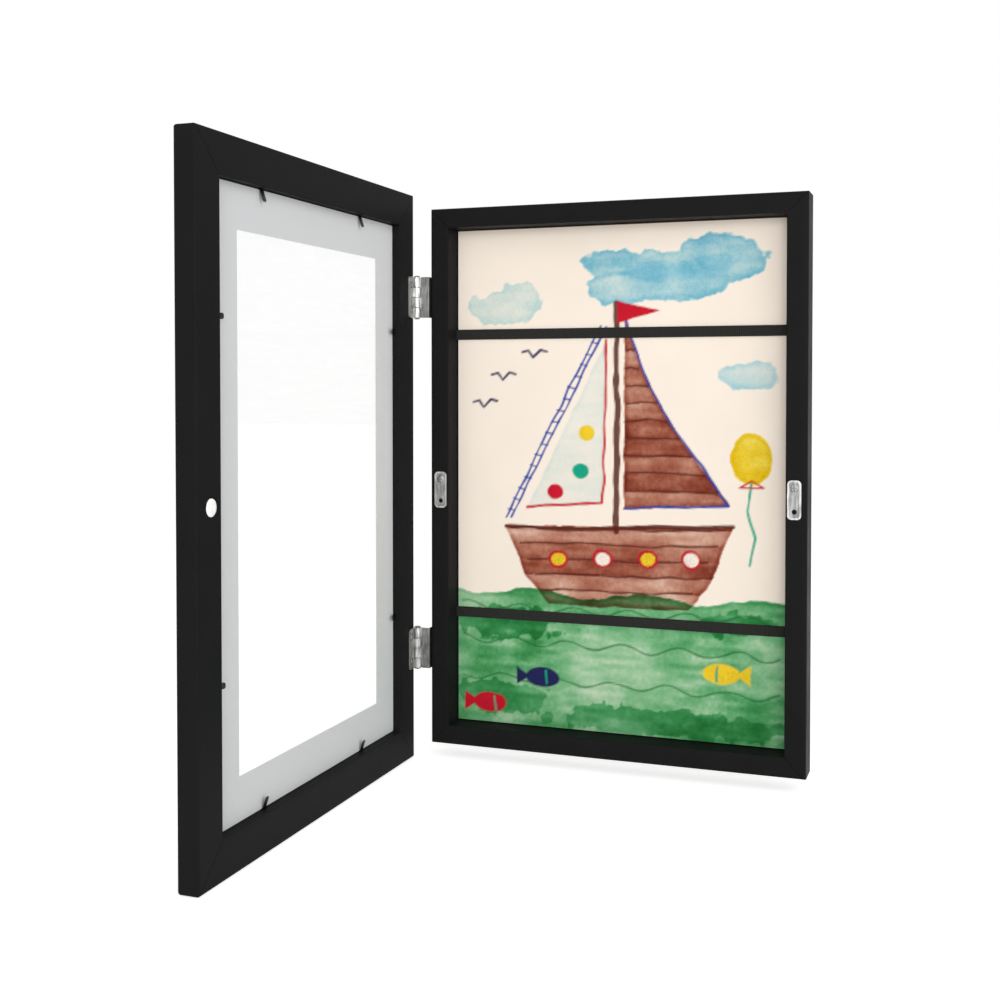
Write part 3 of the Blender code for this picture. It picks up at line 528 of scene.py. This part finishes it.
def lumpy(x, y, size, seed):
    """Random values from 0 to 1 on a square lattice of the given spacing, blended smoothly between."""
    table = np.random.default_rng(seed).random((LUMP_TABLE, LUMP_TABLE))
    u = x / size
    v = y / size
    i = np.floor(u).astype(int)
    j = np.floor(v).astype(int)
    a = (u - i) ** 2 * (3 - 2 * (u - i))
    b = (v - j) ** 2 * (3 - 2 * (v - j))
    left, right = i % LUMP_TABLE, (i + 1) % LUMP_TABLE
    below, above = j % LUMP_TABLE, (j + 1) % LUMP_TABLE
    lower = table[left, below] * (1 - a) + table[right, below] * a
    upper = table[left, above] * (1 - a) + table[right, above] * a
    return lower * (1 - b) + upper * b


def mottled(x, y, size, seed):
    """Three layers of lumps, each half the size and half the weight of the last, from 0 to 1."""
    layers = [lumpy(x, y, size / 2 ** step, seed + step) / 2 ** step for step in range(3)]
    return sum(layers) / 1.75


def ovals(x, y, *parts):
    """About the distance in millimetres to the nearest of some ovals, negative inside.
    Each is (x, y, half width, half height)."""
    nearest = np.full(x.shape, np.inf)
    for middle_x, middle_y, wide, tall in parts:
        reach = np.hypot((x - middle_x) / wide, (y - middle_y) / tall)
        nearest = np.minimum(nearest, (reach - 1) * min(wide, tall))
    return nearest


def to_path(x, y, points):
    """Distance to the nearest straight piece of an open path."""
    nearest = np.full(x.shape, np.inf)
    for (ax, ay), (bx, by) in zip(points, points[1:]):
        along = (x - ax) * (bx - ax) + (y - ay) * (by - ay)
        share = np.clip(along / ((bx - ax) ** 2 + (by - ay) ** 2), 0, 1)
        nearest = np.minimum(nearest, np.hypot(x - ax - share * (bx - ax), y - ay - share * (by - ay)))
    return nearest


def to_shape(x, y, corners):
    """Distance to a closed outline, negative where a level line from the point crosses it an odd number
    of times."""
    closed = [*corners, corners[0]]
    inside = np.zeros(x.shape, bool)
    for (ax, ay), (bx, by) in zip(closed, closed[1:]):
        if ay != by:
            inside ^= ((ay > y) != (by > y)) & (x < (bx - ax) * (y - ay) / (by - ay) + ax)
    return np.where(inside, -1, 1) * to_path(x, y, closed)


class Picture:
    """A painting on points of the sheet, in millimetres from its middle: linear colours, and the load of
    pigment. The sizes are those of what shows in dried paint, in millimetres too."""
    PAPER_CLOUDS = 30
    RAGGED = 7
    BLUR = 0.8
    POOLS = 17
    BRISTLES = 2.8
    GRAINS = 1.9
    DRIED_LINE = 1.5
    SWAY = 1.6
    SWAY_LENGTH = 11
    PAINT_LUMPS = 6
    LINE_BLUR = 0.7

    def __init__(self, x, y, paper):
        self.x = x
        self.y = y
        self.paper = np.array(paper)
        self.colours = self.paper * (0.965 + 0.05 * mottled(x, y, self.PAPER_CLOUDS, 5))[:, None]
        self.pigment = np.zeros(x.shape)

    def cover(self, distance, ragged, seed):
        """Share covered inside an outline that wanders by the ragged width, and how far inside."""
        edge = distance + ragged * (mottled(self.x, self.y, self.RAGGED, seed) - 0.5)
        return np.clip(0.5 - edge / self.BLUR, 0, 1), edge

    def wash(self, distance, rgb, seed, depth=1.0, ragged=2.4, rim=0.35):
        """Wet, see-through paint inside an outline. What is under it shows through by the tint raised to
        the load. The load is mottled, streaked by the brush, grainy, and heavier in a line along the
        edge, where it dried last."""
        inside, edge = self.cover(distance, ragged, seed)
        settled = 0.34 + 0.85 * mottled(self.x, self.y, self.POOLS, seed + 10)
        strokes = 0.4 * (lumpy(self.x * 0.2, self.y, self.BRISTLES, seed + 20) - 0.5)
        grains = 0.2 * (lumpy(self.x, self.y, self.GRAINS, seed + 30) - 0.5)
        dried = rim * np.exp(-((edge + self.BLUR) / self.DRIED_LINE) ** 2)
        load = np.maximum(depth * inside * (settled + strokes + grains + dried), 0)
        tint = np.clip(np.array(rgb) / self.paper, 0.004, 1)
        self.colours = self.colours * tint ** load[:, None]
        dark = 1 - np.array(rgb).mean()
        self.pigment = np.maximum(self.pigment, np.minimum(load, 1) * dark)

    def spot(self, distance, rgb, seed, ragged=1.0):
        """Thick paint inside an outline, which hides what is under it."""
        inside = self.cover(distance, ragged, seed)[0]
        thick = 0.88 + 0.24 * mottled(self.x, self.y, self.PAINT_LUMPS, seed + 10)
        self.lay(inside, np.array(rgb) * thick[:, None])

    def line(self, points, width, rgb, seed, strength=0.95):
        """A brush line along a path, wavering and thinner in places."""
        sway_x = self.x + self.SWAY * (lumpy(self.x, self.y, self.SWAY_LENGTH, seed) - 0.5)
        sway_y = self.y + self.SWAY * (lumpy(self.x, self.y, self.SWAY_LENGTH, seed + 10) - 0.5)
        thick = width * (0.75 + 0.5 * lumpy(self.x, self.y, self.PAINT_LUMPS, seed + 20))
        edge = to_path(sway_x, sway_y, points) - thick / 2
        self.lay(strength * np.clip(0.5 - edge / self.LINE_BLUR, 0, 1), np.array(rgb))

    def lay(self, amount, rgb):
        """Mix a colour in by the amount at each point."""
        self.colours = self.colours * (1 - amount[:, None]) + amount[:, None] * rgb


def boards(level, spacing, seed):
    """Loads for boards painted one by one: each takes a lighter or a heavier brush, and the paint
    gathers along its lower edge."""
    number = np.floor(level / spacing).astype(int)
    tones = 0.62 + 0.85 * np.random.default_rng(seed).random(BOARD_TONES)
    gathered = np.exp(-((level / spacing) % 1) / 0.22)
    return tones[number % BOARD_TONES] + 0.45 * gathered


def paint_boat(picture, paints):
    """A sailing boat on a green sea under pale clouds, in a child's hand. Places are in millimetres from
    the sheet's middle."""
    x = picture.x
    y = picture.y
    clouds = ovals(x, y, (30, 122, 44, 15), (62, 131, 27, 14), (4, 115, 22, 10), (-3, 129, 18, 9))
    picture.wash(clouds, paints.sky, 11, 1.1, 6)
    picture.wash(ovals(x, y, (26, 124, 22, 7), (60, 128, 12, 5)), paints.sky, 12, 0.4, 6, 0)
    picture.wash(ovals(x, y, (-72, 104, 22, 10), (-60, 111, 13, 9)), paints.mist, 13, 1.2, 6)
    picture.wash(ovals(x, y, (80, 62, 17, 8)), paints.sky, 14, 0.6, 5)

    sea_level = -70 + 2.5 * np.sin(x / 11)
    wet = 0.18 + 0.95 * mottled(x * 0.6, y, 36, 90)
    picture.wash(y - sea_level, paints.sea, 15, wet, 3)
    picture.wash(ovals(x, y, (-68, -90, 34, 10), (74, -82, 24, 7)), paints.sea_dark, 16, 0.5, 12, 0)
    picture.wash(ovals(x, y, (30, -144, 70, 8), (-74, -136, 30, 10)), paints.sea_dark, 17, 0.4, 12, 0)
    for level, shift, seed in ((-80, 0, 19), (-101, 5, 20), (-124, 11, 21)):
        across = np.linspace(-98, 98, 50)
        waves = list(zip(across, level + 2.4 * np.sin((across + shift) / 5.5)))
        picture.line(waves, 1.1, paints.sea_dark, seed, 0.8)

    keel = -77
    plank = 9.5
    hull = [(-70, -30), (70, -26), (58, -58), (44, -76), (-42, keel), (-57, -60)]
    picture.wash(to_shape(x, y, hull), paints.rust, 22, boards(y - keel - x * 0.02, plank, 3), 2)
    for number in range(5):
        level = keel + plank * (number + 1)
        reach = 46 + 5 * number
        board = [(-reach, level - 1), (-reach / 3, level + 0.4), (reach / 3, level), (reach, level + 1.4)]
        picture.line(board, 1.2, paints.brown, 23 + number, 0.9)
    picture.line([(-70, -30), (-25, -31), (20, -27), (70, -26)], 2.4, paints.brown, 29)

    boom = -17
    panel = 10.5
    sail = [(5, boom), (68, -13), (36, 30), (17, 64), (5, 98)]
    edge_x, edge_y = zip(*sail[1:])
    picture.wash(to_shape(x, y, sail), paints.rust, 30, boards(y - boom, panel, 8), 2)
    for number in range(9):
        level = boom + panel * (number + 1)
        reach = np.interp(level, edge_y, edge_x) - 8
        seam = [(6, level), (6 + reach / 2, level + 0.8), (6 + reach, level - 0.4)]
        picture.line(seam, 1.2, paints.brown, 31 + number, 0.85)
    picture.line(sail, 1.4, paints.blue, 41)
    picture.line([(0, -30), (1, 34), (0, 106)], 3.6, paints.brown, 42)

    jib = [(-6, 84), (-8, -14), (-56, -18)]
    picture.wash(to_shape(x, y, jib), paints.mist, 43, 0.6, 2)
    picture.line(jib, 1.6, paints.red, 44)
    spots = (-18, 28, paints.yellow), (-22, 5, paints.teal), (-38, -8, paints.red)
    for number, (spot_x, spot_y, paint) in enumerate(spots):
        picture.spot(ovals(x, y, (spot_x, spot_y, 5, 4.6)), paint, 45 + number)
    picture.line([(-6, 92), (-66, -24)], 1.3, paints.blue, 48)
    picture.line([(-10, 92), (-70, -24)], 1.3, paints.blue, 49)
    rungs = 17
    for number in range(rungs):
        share = (number + 0.5) / rungs
        foot = (-6 - 60 * share, 92 - 116 * share)
        picture.line([foot, (foot[0] - 4, foot[1] + 1)], 1.0, paints.blue, 50 + number)
    picture.spot(to_shape(x, y, [(1, 107), (1, 94), (27, 101)]), paints.red, 68)

    for number, spot_x in enumerate((-36, -8, 20, 46)):
        middle = (spot_x, -49 + number)
        ring = [(middle[0] + 5.4 * math.cos(turn), middle[1] + 5 * math.sin(turn))
                for turn in np.linspace(0, math.tau, 13)]
        inner = ovals(x, y, (*middle, 4.6, 4.2))
        picture.spot(inner, paints.paper if number % 2 else paints.yellow, 70 + number)
        picture.line(ring, 1.6, paints.red, 75 + number)

    for number, (spot_x, spot_y) in enumerate(((-72, 60), (-52, 74), (-84, 44))):
        bird = [(spot_x - 7, spot_y + 3), (spot_x - 3, spot_y + 4), (spot_x, spot_y),
                (spot_x + 4, spot_y + 4.5), (spot_x + 8, spot_y + 3.5)]
        picture.line(bird, 1.5, paints.navy, 81 + number)

    picture.wash(ovals(x, y, (81, 14, 12, 15)), paints.yellow, 84, 1.15, 2)
    picture.line([(81, -1), (79, -16), (83, -32), (80, -48)], 1.4, paints.teal, 85)
    picture.line([(74, -3), (88, -3), (81, 1), (74, -3)], 1.3, paints.red, 86)

    fishes = (64, -112, -1, paints.yellow), (-46, -122, 1, paints.navy), (-80, -140, 1, paints.red)
    for number, (spot_x, spot_y, side, paint) in enumerate(fishes):
        end = spot_x - side * 17
        tail = [(spot_x - side * 8, spot_y), (end, spot_y + 6), (end, spot_y - 6)]
        shape = np.minimum(ovals(x, y, (spot_x, spot_y, 11, 6)), to_shape(x, y, tail))
        picture.spot(shape, paint, 87 + number)
        stripe = [(spot_x + side * 2, spot_y + 4), (spot_x + side * 3, spot_y - 4)]
        picture.line(stripe, 1.3, paints.teal, 90 + number)


class FRAME_OT_lacquer_bars(bpy.types.Operator):
    """Lacquer the eight bars, with the pores along each bar"""
    bl_idname = "art_frame.lacquer_bars"
    bl_label = "Lacquer Bars"

    def execute(self, context):
        uprights = satin_lacquer("satin_black_lacquer_upright", 2)
        dress(uprights, "box_stile_left", "box_stile_right", "door_stile_hinge", "door_stile_free")
        dress(satin_lacquer("satin_black_lacquer_box_rail", 0), "box_rail_top", "box_rail_bottom")
        dress(satin_lacquer("satin_black_lacquer_door_rail", 1), "door_rail_top", "door_rail_bottom")
        return {"FINISHED"}


class FRAME_OT_glue_mitres(bpy.types.Operator):
    """Fill the gap of each mitre with dark glue"""
    bl_idname = "art_frame.glue_mitres"
    bl_label = "Glue Mitres"

    def execute(self, context):
        settings = context.scene.frame_fittings
        glue = dark_glue()
        for part, along in (("box", 0), ("door", 1)):
            for level in ("top", "bottom"):
                self.film(f"{part}_rail_{level}", along, settings, glue)
        return {"FINISHED"}

    def film(self, rail, along, settings, material):
        """Both mitre faces of a rail, found by their slant, drawn in from their edges by the sink and
        thickened over the gap towards the stiles."""
        solid = frame["nodes"][rail].data
        corners = np.zeros(len(solid.vertices) * 3)
        solid.vertices.foreach_get("co", corners)
        order = np.zeros(len(solid.loops), int)
        solid.loops.foreach_get("vertex_index", order)
        triangles = corners.reshape(-1, 3)[order.reshape(-1, 3)]
        across = np.cross(triangles[:, 1] - triangles[:, 0], triangles[:, 2] - triangles[:, 0])
        normals = across / np.maximum(np.linalg.norm(across, axis=1), NO_AREA)[:, None]
        slanted = np.abs(normals[:, along] * normals[:, 2]) > MITRE_SLANT
        ends = []
        for side in (-1, 1):
            chosen = slanted & (normals[:, along] * side > 0)
            points = triangles[chosen].reshape(-1, 3)
            low = points.min(axis=0)
            high = points.max(axis=0)
            middle = (low + high) / 2
            share = 1 - 2 * settings.glue_sink / (high - low)
            ends.append(middle + (points - middle) * share + normals[chosen][0] * GLUE_CLEARANCE)
        points = np.concatenate(ends)
        faces = np.arange(len(points)).reshape(-1, 3)
        piece = joined(rail + "_glue", points, faces, material)
        thickness = piece.modifiers.new("thickness of the glue", "SOLIDIFY")
        thickness.thickness = settings.glue_film
        thickness.offset = 1.0
        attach(piece, BODY_OF[rail])


class FRAME_OT_finish_panels(bpy.types.Operator):
    """Finish the mat, the clear panel and the back board"""
    bl_idname = "art_frame.finish_panels"
    bl_label = "Finish Panels"

    def execute(self, context):
        low, high = low_high("mat_board")
        backing = (high[0] - low[0]) * BACKING_SHARE
        dress(mat_card(high[0] - 2 * backing, high[0] - backing), "mat_board")
        dress(clear_acrylic(), "glazing")
        dress(brown_hardboard(), "back_board")
        return {"FINISHED"}


class FRAME_OT_paint_sheet(bpy.types.Operator):
    """Paint the front sheet and finish the stack behind it"""
    bl_idname = "art_frame.paint_sheet"
    bl_label = "Paint Sheet"

    def execute(self, context):
        paints = context.scene.frame_painting
        front, points, faces = self.sheet(paints)
        mesh = bpy.data.meshes.new("painted_sheet")
        mesh.from_pydata(points, [], faces)
        mesh.shade_smooth()
        mesh.set_sharp_from_angle(angle=math.radians(40))
        picture = Picture(front[:, 0] * 1000, front[:, 2] * 1000, paints.paper)
        paint_boat(picture, paints)
        coloured = np.zeros((len(points), 4))
        coloured[:, :3] = paints.paper
        coloured[:len(front), :3] = picture.colours
        coloured[:len(front), 3] = picture.pigment
        attribute = mesh.attributes.new("paint", "FLOAT_COLOR", "POINT")
        attribute.data.foreach_set("color", coloured.astype(np.float32).ravel())
        mesh.materials.append(painted_paper())
        stands_for(put("painted_sheet", mesh), "artwork_sheet")
        dress(stacked_paper(), "paper_stack")
        return {"FINISHED"}

    def sheet(self, paints):
        """Points of the sheet's front, then all its points and its faces. The front is a grid, lifted by
        the cockle times lumps and level near its edges. Its rim is repeated behind, with a fan to the
        middle of the back."""
        low, high = low_high("artwork_sheet")
        columns = paints.columns + 1
        rows = paints.rows + 1
        up, across = np.indices((rows, columns)).reshape(2, -1)
        x = low[0] + (high[0] - low[0]) * across / paints.columns
        z = low[2] + (high[2] - low[2]) * up / paints.rows
        to_edge = np.minimum.reduce([x - low[0], high[0] - x, z - low[2], high[2] - z])
        lumps = mottled(x * 1000, z * 1000, COCKLE_SIZE, 3)
        lift = paints.cockle * lumps * np.clip(to_edge / COCKLE_MARGIN, 0, 1)
        front = np.stack([x, low[1] - lift, z], axis=1)
        grid = np.arange(len(front)).reshape(rows, columns)
        rim = np.concatenate([grid[0], grid[1:, -1], grid[-1, -2::-1], grid[-2:0:-1, 0]])
        behind = front[rim]
        behind[:, 1] = high[1]
        middle = np.array([[(low[0] + high[0]) / 2, high[1], (low[2] + high[2]) / 2]])
        points = np.concatenate([front, behind, middle])
        near = len(front) + np.arange(len(rim))
        beyond = np.roll(near, -1)
        sides = np.stack([rim, near, beyond, np.roll(rim, -1)], axis=1)
        back = np.stack([near, np.full(len(rim), len(points) - 1), beyond], axis=1)
        return front, points, [*lattice(rows, columns).tolist(), *sides.tolist(), *back.tolist()]


class FRAME_OT_weave_bands(bpy.types.Operator):
    """Weave the two elastic bands"""
    bl_idname = "art_frame.weave_bands"
    bl_label = "Weave Bands"

    def execute(self, context):
        settings = context.scene.frame_fittings
        material = woven_elastic()
        self.band("lower", settings, material)
        self.band("upper", settings, material)
        return {"FINISHED"}

    def band(self, level, settings, material):
        """A loop round the band's section, carried from end to end. Half the thickness follows
        (1 - |height|^8)^(1/8), less a groove of 1 - |sin| between two cords."""
        node = "elastic_band_" + level
        low, high = low_high(node)
        middle = (low + high) / 2
        half = (high - low) / 2
        share = np.sin(np.linspace(-math.pi / 2, math.pi / 2, SECTION_POINTS))
        bulge = (1 - np.abs(share) ** 8) ** 0.125
        groove = settings.rib_depth * (1 - np.abs(np.sin(math.pi * settings.ribs * (share + 1) / 2)))
        thick = np.maximum(half[1] * bulge - groove, 0)
        section = np.zeros((2 * len(share) - 2, 3))
        section[:, 1] = np.concatenate([-thick, thick[-2:0:-1]])
        section[:, 2] = np.concatenate([share, share[-2:0:-1]]) * half[2]
        along = np.zeros((BAND_POINTS, 1, 3))
        along[:, 0, 0] = np.linspace(-half[0], half[0], BAND_POINTS)
        rings = middle + along + section
        closing = np.broadcast_to(middle + along, rings.shape)
        rings = np.concatenate([closing[:1], rings, closing[-1:]])
        round_piece("woven_band_" + level, rings, material, node, sharp=60)


class FRAME_OT_press_steel(bpy.types.Operator):
    """Round the edges of the strike plates, the hinge leaves and the tabs"""
    bl_idname = "art_frame.press_steel"
    bl_label = "Press Steel"

    def execute(self, context):
        settings = context.scene.frame_fittings
        finish = context.scene.frame_finish
        # Painted highlights on the rims of the strike plates and on the hinge knuckles, and painted shade
        # on the plate floors and the hinge leaves.
        plates = plated_steel(
            "pressed_plated_steel", finish.nickel, finish.floor_shade_and_screw_zinc, low=0.54, high=0.66,
            spacing=0.0011, painted_light_share=rim_highlight_share)
        leaves = plated_steel(
            "rolled_plated_steel", finish.nickel, finish.nickel_shade_and_dull_tone, low=0.3, high=0.5,
            spacing=0.0011, painted_light_share=knuckle_highlight_share, darkest=0.5)
        dark = plated_steel(
            "blued_spring_steel", finish.spring_steel, finish.spring_steel, low=0.34, high=0.5,
            spacing=0.001)
        for name in sorted(frame["nodes"]):
            if name.startswith("strike_plate") and not name.endswith("screw"):
                self.soften(name, settings.pressed_edge, plates, "nickel_steel")
            elif name.endswith("leaf"):
                self.soften(name, settings.leaf_edge, leaves, "nickel_steel")
            elif name.startswith("tab_"):
                self.soften(name, settings.tab_edge, dark, "dark_steel")
        return {"FINISHED"}

    def soften(self, node, width, material, slot):
        """A merged copy of the solid, with its sharp edges rounded."""
        mesh = frame["nodes"][node].data.copy()
        mesh.name = node + "_pressed"
        merge(mesh, flat_faces=True)
        mesh.materials.clear()
        mesh.materials.append(material)
        mesh.shade_smooth()
        mesh.set_sharp_from_angle(angle=math.radians(30))
        piece = put(node + "_pressed", mesh)
        rounding = piece.modifiers.new("rounded edges", "BEVEL")
        rounding.width = width
        rounding.segments = 2
        rounding.limit_method = "ANGLE"
        rounding.angle_limit = math.radians(40)
        rounding.harden_normals = True
        stands_for(piece, node)


class FRAME_OT_turn_fasteners(bpy.types.Operator):
    """Turn the cross-recessed screws, the hinge pins and the magnet"""
    bl_idname = "art_frame.turn_fasteners"
    bl_label = "Turn Fasteners"

    def execute(self, context):
        finish = context.scene.frame_finish
        settings = context.scene.frame_fittings
        zinc = plated_steel(
            "zinc_plated_screws", finish.floor_shade_and_screw_zinc, finish.floor_shade_and_screw_zinc, low=0.48, high=0.6,
            spacing=0.0006)
        for name in sorted(frame["nodes"]):
            if name.endswith("_pin"):
                self.pin(name, settings, zinc)
            elif "_screw" in name:
                self.screw(name, settings, zinc)
        self.magnet(settings, plated_steel(
            "tumbled_magnet_plating", finish.magnet, finish.magnet, low=0.62, high=0.75,
            spacing=0.004, darkest=0.94))
        return {"FINISHED"}

    def measure(self, node, axis, outer_is_low):
        """Middle of the outer end, length and radius of a node that lies along an axis."""
        low, high = low_high(node)
        foot = (low + high) / 2
        foot[axis] = low[axis] if outer_is_low else high[axis]
        return foot, high[axis] - low[axis], (high - low)[(axis + 1) % 3] / 2

    def spin(self, profile, steps, foot, axis, sign):
        """Rings of points of a profile of (radius, height) round an axis through the foot, which is 0, 1
        or 2. Heights run along the axis, times the sign."""
        turn = np.linspace(0, math.tau, steps, endpoint=False)
        first, second = [other for other in range(3) if other != axis]
        rings = np.zeros((len(profile), steps, 3))
        rings[:, :, axis] = foot[axis] + sign * profile[:, 1:2]
        rings[:, :, first] = foot[first] + profile[:, 0:1] * np.cos(turn)
        rings[:, :, second] = foot[second] + profile[:, 0:1] * np.sin(turn)
        return rings

    def screw(self, node, settings, material):
        """Head and shank spun from a profile whose face falls off by the dome times radius^4. The face
        sinks by the recess depth inside a cross whose arms have the recess width, with sloping sides."""
        in_plate = node.startswith("strike")
        axis = 1 if in_plate else 0
        outer_is_low = in_plate or "_box_" in node
        head = settings.plate_screw_head if in_plate else settings.leaf_screw_head
        dome = settings.plate_screw_dome if in_plate else settings.leaf_screw_dome
        foot, full, radius = self.measure(node, axis, outer_is_low)
        shank = radius * settings.shank_share
        share = np.linspace(0, 1, FACE_POINTS)
        face = np.stack([share * radius, dome * share ** 4], axis=1)
        below = np.array([
            [radius, dome + HEAD_EDGE], [shank, head + HEAD_TAPER], [shank, full - shank], [0, full]])
        sign = 1 if outer_is_low else -1
        rings = self.spin(np.concatenate([face, below]), SCREW_STEPS, foot, axis, sign)
        off = np.abs(np.delete(rings[:len(face)] - foot, axis, axis=2))
        beyond_arm = off.max(axis=2) - radius * settings.recess_share
        beside_arm = off.min(axis=2) - settings.recess_width / 2
        outside = np.maximum(beyond_arm, beside_arm)
        sunk = np.clip(0.5 - outside / settings.recess_slope, 0, 1)
        rings[:len(face), :, axis] += sign * settings.recess_depth * sunk
        round_piece(node + "_cross_recessed", rings, material, node, sharp=50)

    def pin(self, node, settings, material):
        """A pin with a low domed head on each end, spun from a profile. The dome follows a quarter of a
        sine wave."""
        foot, full, radius = self.measure(node, 2, True)
        head = settings.pin_head
        turn = np.linspace(0, math.pi / 2, DOME_POINTS)
        dome = np.stack([radius * np.sin(turn), head * (1 - np.cos(turn))], axis=1)
        stem = np.array([[radius / 2, head], [radius / 2, full - head]])
        far = dome[::-1] * [1, -1] + [0, full]
        rings = self.spin(np.concatenate([dome, stem, far]), PIN_STEPS, foot, 2, 1)
        round_piece(node + "_domed", rings, material, node, sharp=50)

    def magnet(self, settings, material):
        """A disc with a bevel round its face, spun from a profile."""
        foot, full, radius = self.measure("magnet", 0, False)
        edge = settings.magnet_chamfer
        bend = edge * ROUND_SHARE
        profile = np.array([
            [0, 0], [radius / 2, 0], [radius - edge, 0], [radius - bend, bend],
            [radius, edge], [radius, full - edge], [radius - edge, full], [0, full]])
        rings = self.spin(profile, MAGNET_STEPS, foot, 0, -1)
        round_piece("magnet_disc", rings, material, "magnet", sharp=30)


class FRAME_OT_finish_nails(bpy.types.Operator):
    """Finish the nails and the hangers on the rear"""
    bl_idname = "art_frame.finish_nails"
    bl_label = "Finish Nails"

    def execute(self, context):
        finish = context.scene.frame_finish
        galvanised = plated_steel(
            "galvanised_nails_and_hangers", finish.nickel, finish.nickel_shade_and_dull_tone, low=0.3, high=0.46,
            spacing=0.0009)
        nails = [name for name in frame["nodes"] if "_nail" in name or name.startswith("hanger")]
        dress(galvanised, *nails)
        return {"FINISHED"}


class FRAME_OT_set_stage(bpy.types.Operator):
    """Set the floor, the soft light and the camera"""
    bl_idname = "art_frame.set_stage"
    bl_label = "Set Stage"

    def execute(self, context):
        settings = context.scene.frame_stage
        self.floor(settings)
        self.surroundings(settings)
        self.lamp("key_light", settings.key_place, settings.key_size, settings.key_power)
        self.lamp("front_light", settings.front_place, settings.front_size, settings.front_power)
        self.camera(settings)
        context.scene.view_settings.view_transform = "Standard"
        return {"FINISHED"}

    def floor(self, settings):
        """A plain square under the object, in matt pale paint."""
        half = settings.floor_size / 2
        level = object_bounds()[0].z - settings.floor_drop
        corners = [(-half, -half, level), (half, -half, level), (half, half, level), (-half, half, level)]
        mesh = bpy.data.meshes.new("studio_floor")
        mesh.from_pydata(corners, [], [(0, 1, 2, 3)])
        material, tree = start_material("matt_studio_floor")[:2]
        glow = add_node(tree, "MapRange", seen_directly(tree), 0.0, 1.0, 0.0, settings.floor_glow)
        mesh.materials.append(finished(
            material, Base_Color=settings.floor, Roughness=0.9, Specular_IOR_Level=0.1,
            Emission_Color=WHITE, Emission_Strength=glow))
        put("studio_floor", mesh)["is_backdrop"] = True

    def surroundings(self, settings):
        """Even light from all round. The camera, and what shows in metal and through the clear panel,
        sees plain white."""
        world = bpy.data.worlds.new("studio")
        bpy.context.scene.world = world
        world.use_nodes = True
        tree = world.node_tree
        tree.nodes.clear()
        strength = add_node(tree, "MapRange", seen_directly(tree), 0.0, 1.0, settings.sky_strength, 1.0)
        sky = add_node(tree, "Background", WHITE, strength)
        add_node(tree, "OutputWorld", sky)

    def lamp(self, name, place, size, power):
        """A square soft light that faces the object."""
        light = bpy.data.lights.new(name, "AREA")
        light.size = size
        light.energy = power
        lamp = put(name, light)
        lamp.location = place
        lamp.rotation_euler = lamp.location.to_track_quat("Z", "Y").to_euler()

    def camera(self, settings):
        camera = bpy.data.cameras.new("camera")
        camera.lens = camera.sensor_width * settings.focal_share
        camera.shift_y = settings.shift_share
        camera.clip_start = 0.01
        holder = put("camera", camera)
        holder.location = settings.camera_place
        holder.rotation_euler = (math.pi / 2 - settings.camera_tilt, 0, settings.camera_turn)
        bpy.context.scene.camera = holder


OPERATORS = (
    FRAME_OT_lacquer_bars, FRAME_OT_glue_mitres, FRAME_OT_finish_panels, FRAME_OT_paint_sheet,
    FRAME_OT_weave_bands, FRAME_OT_press_steel, FRAME_OT_turn_fasteners, FRAME_OT_finish_nails,
    FRAME_OT_set_stage,
)
SETTINGS = {
    "frame_finish": FinishSettings,
    "frame_painting": PaintingSettings,
    "frame_fittings": FittingSettings,
    "frame_stage": StageSettings,
}


class FRAME_PT_art_frame(bpy.types.Panel):
    """The steps that finish the frame, in order, and their settings"""
    bl_label = "Childrens Art Frame"
    bl_idname = "FRAME_PT_art_frame"
    bl_space_type = "VIEW_3D"
    bl_region_type = "UI"
    bl_category = "Art Frame"

    def draw(self, context):
        for operator in OPERATORS:
            self.layout.operator(operator.bl_idname)
        for name, group in SETTINGS.items():
            box = self.layout.box()
            settings = getattr(context.scene, name)
            for key in group.__annotations__:
                box.prop(settings, key)


def register():
    for name, group in SETTINGS.items():
        bpy.utils.register_class(group)
        setattr(bpy.types.Scene, name, PointerProperty(type=group))
    for operator in OPERATORS:
        bpy.utils.register_class(operator)
    bpy.utils.register_class(FRAME_PT_art_frame)


def unregister():
    bpy.utils.unregister_class(FRAME_PT_art_frame)
    for operator in reversed(OPERATORS):
        bpy.utils.unregister_class(operator)
    for name, group in reversed(SETTINGS.items()):
        delattr(bpy.types.Scene, name)
        bpy.utils.unregister_class(group)


def main():
    register()
    for operator in OPERATORS:
        getattr(bpy.ops.art_frame, operator.bl_idname.split(".")[1])()


if __name__ == "__main__":
    main()
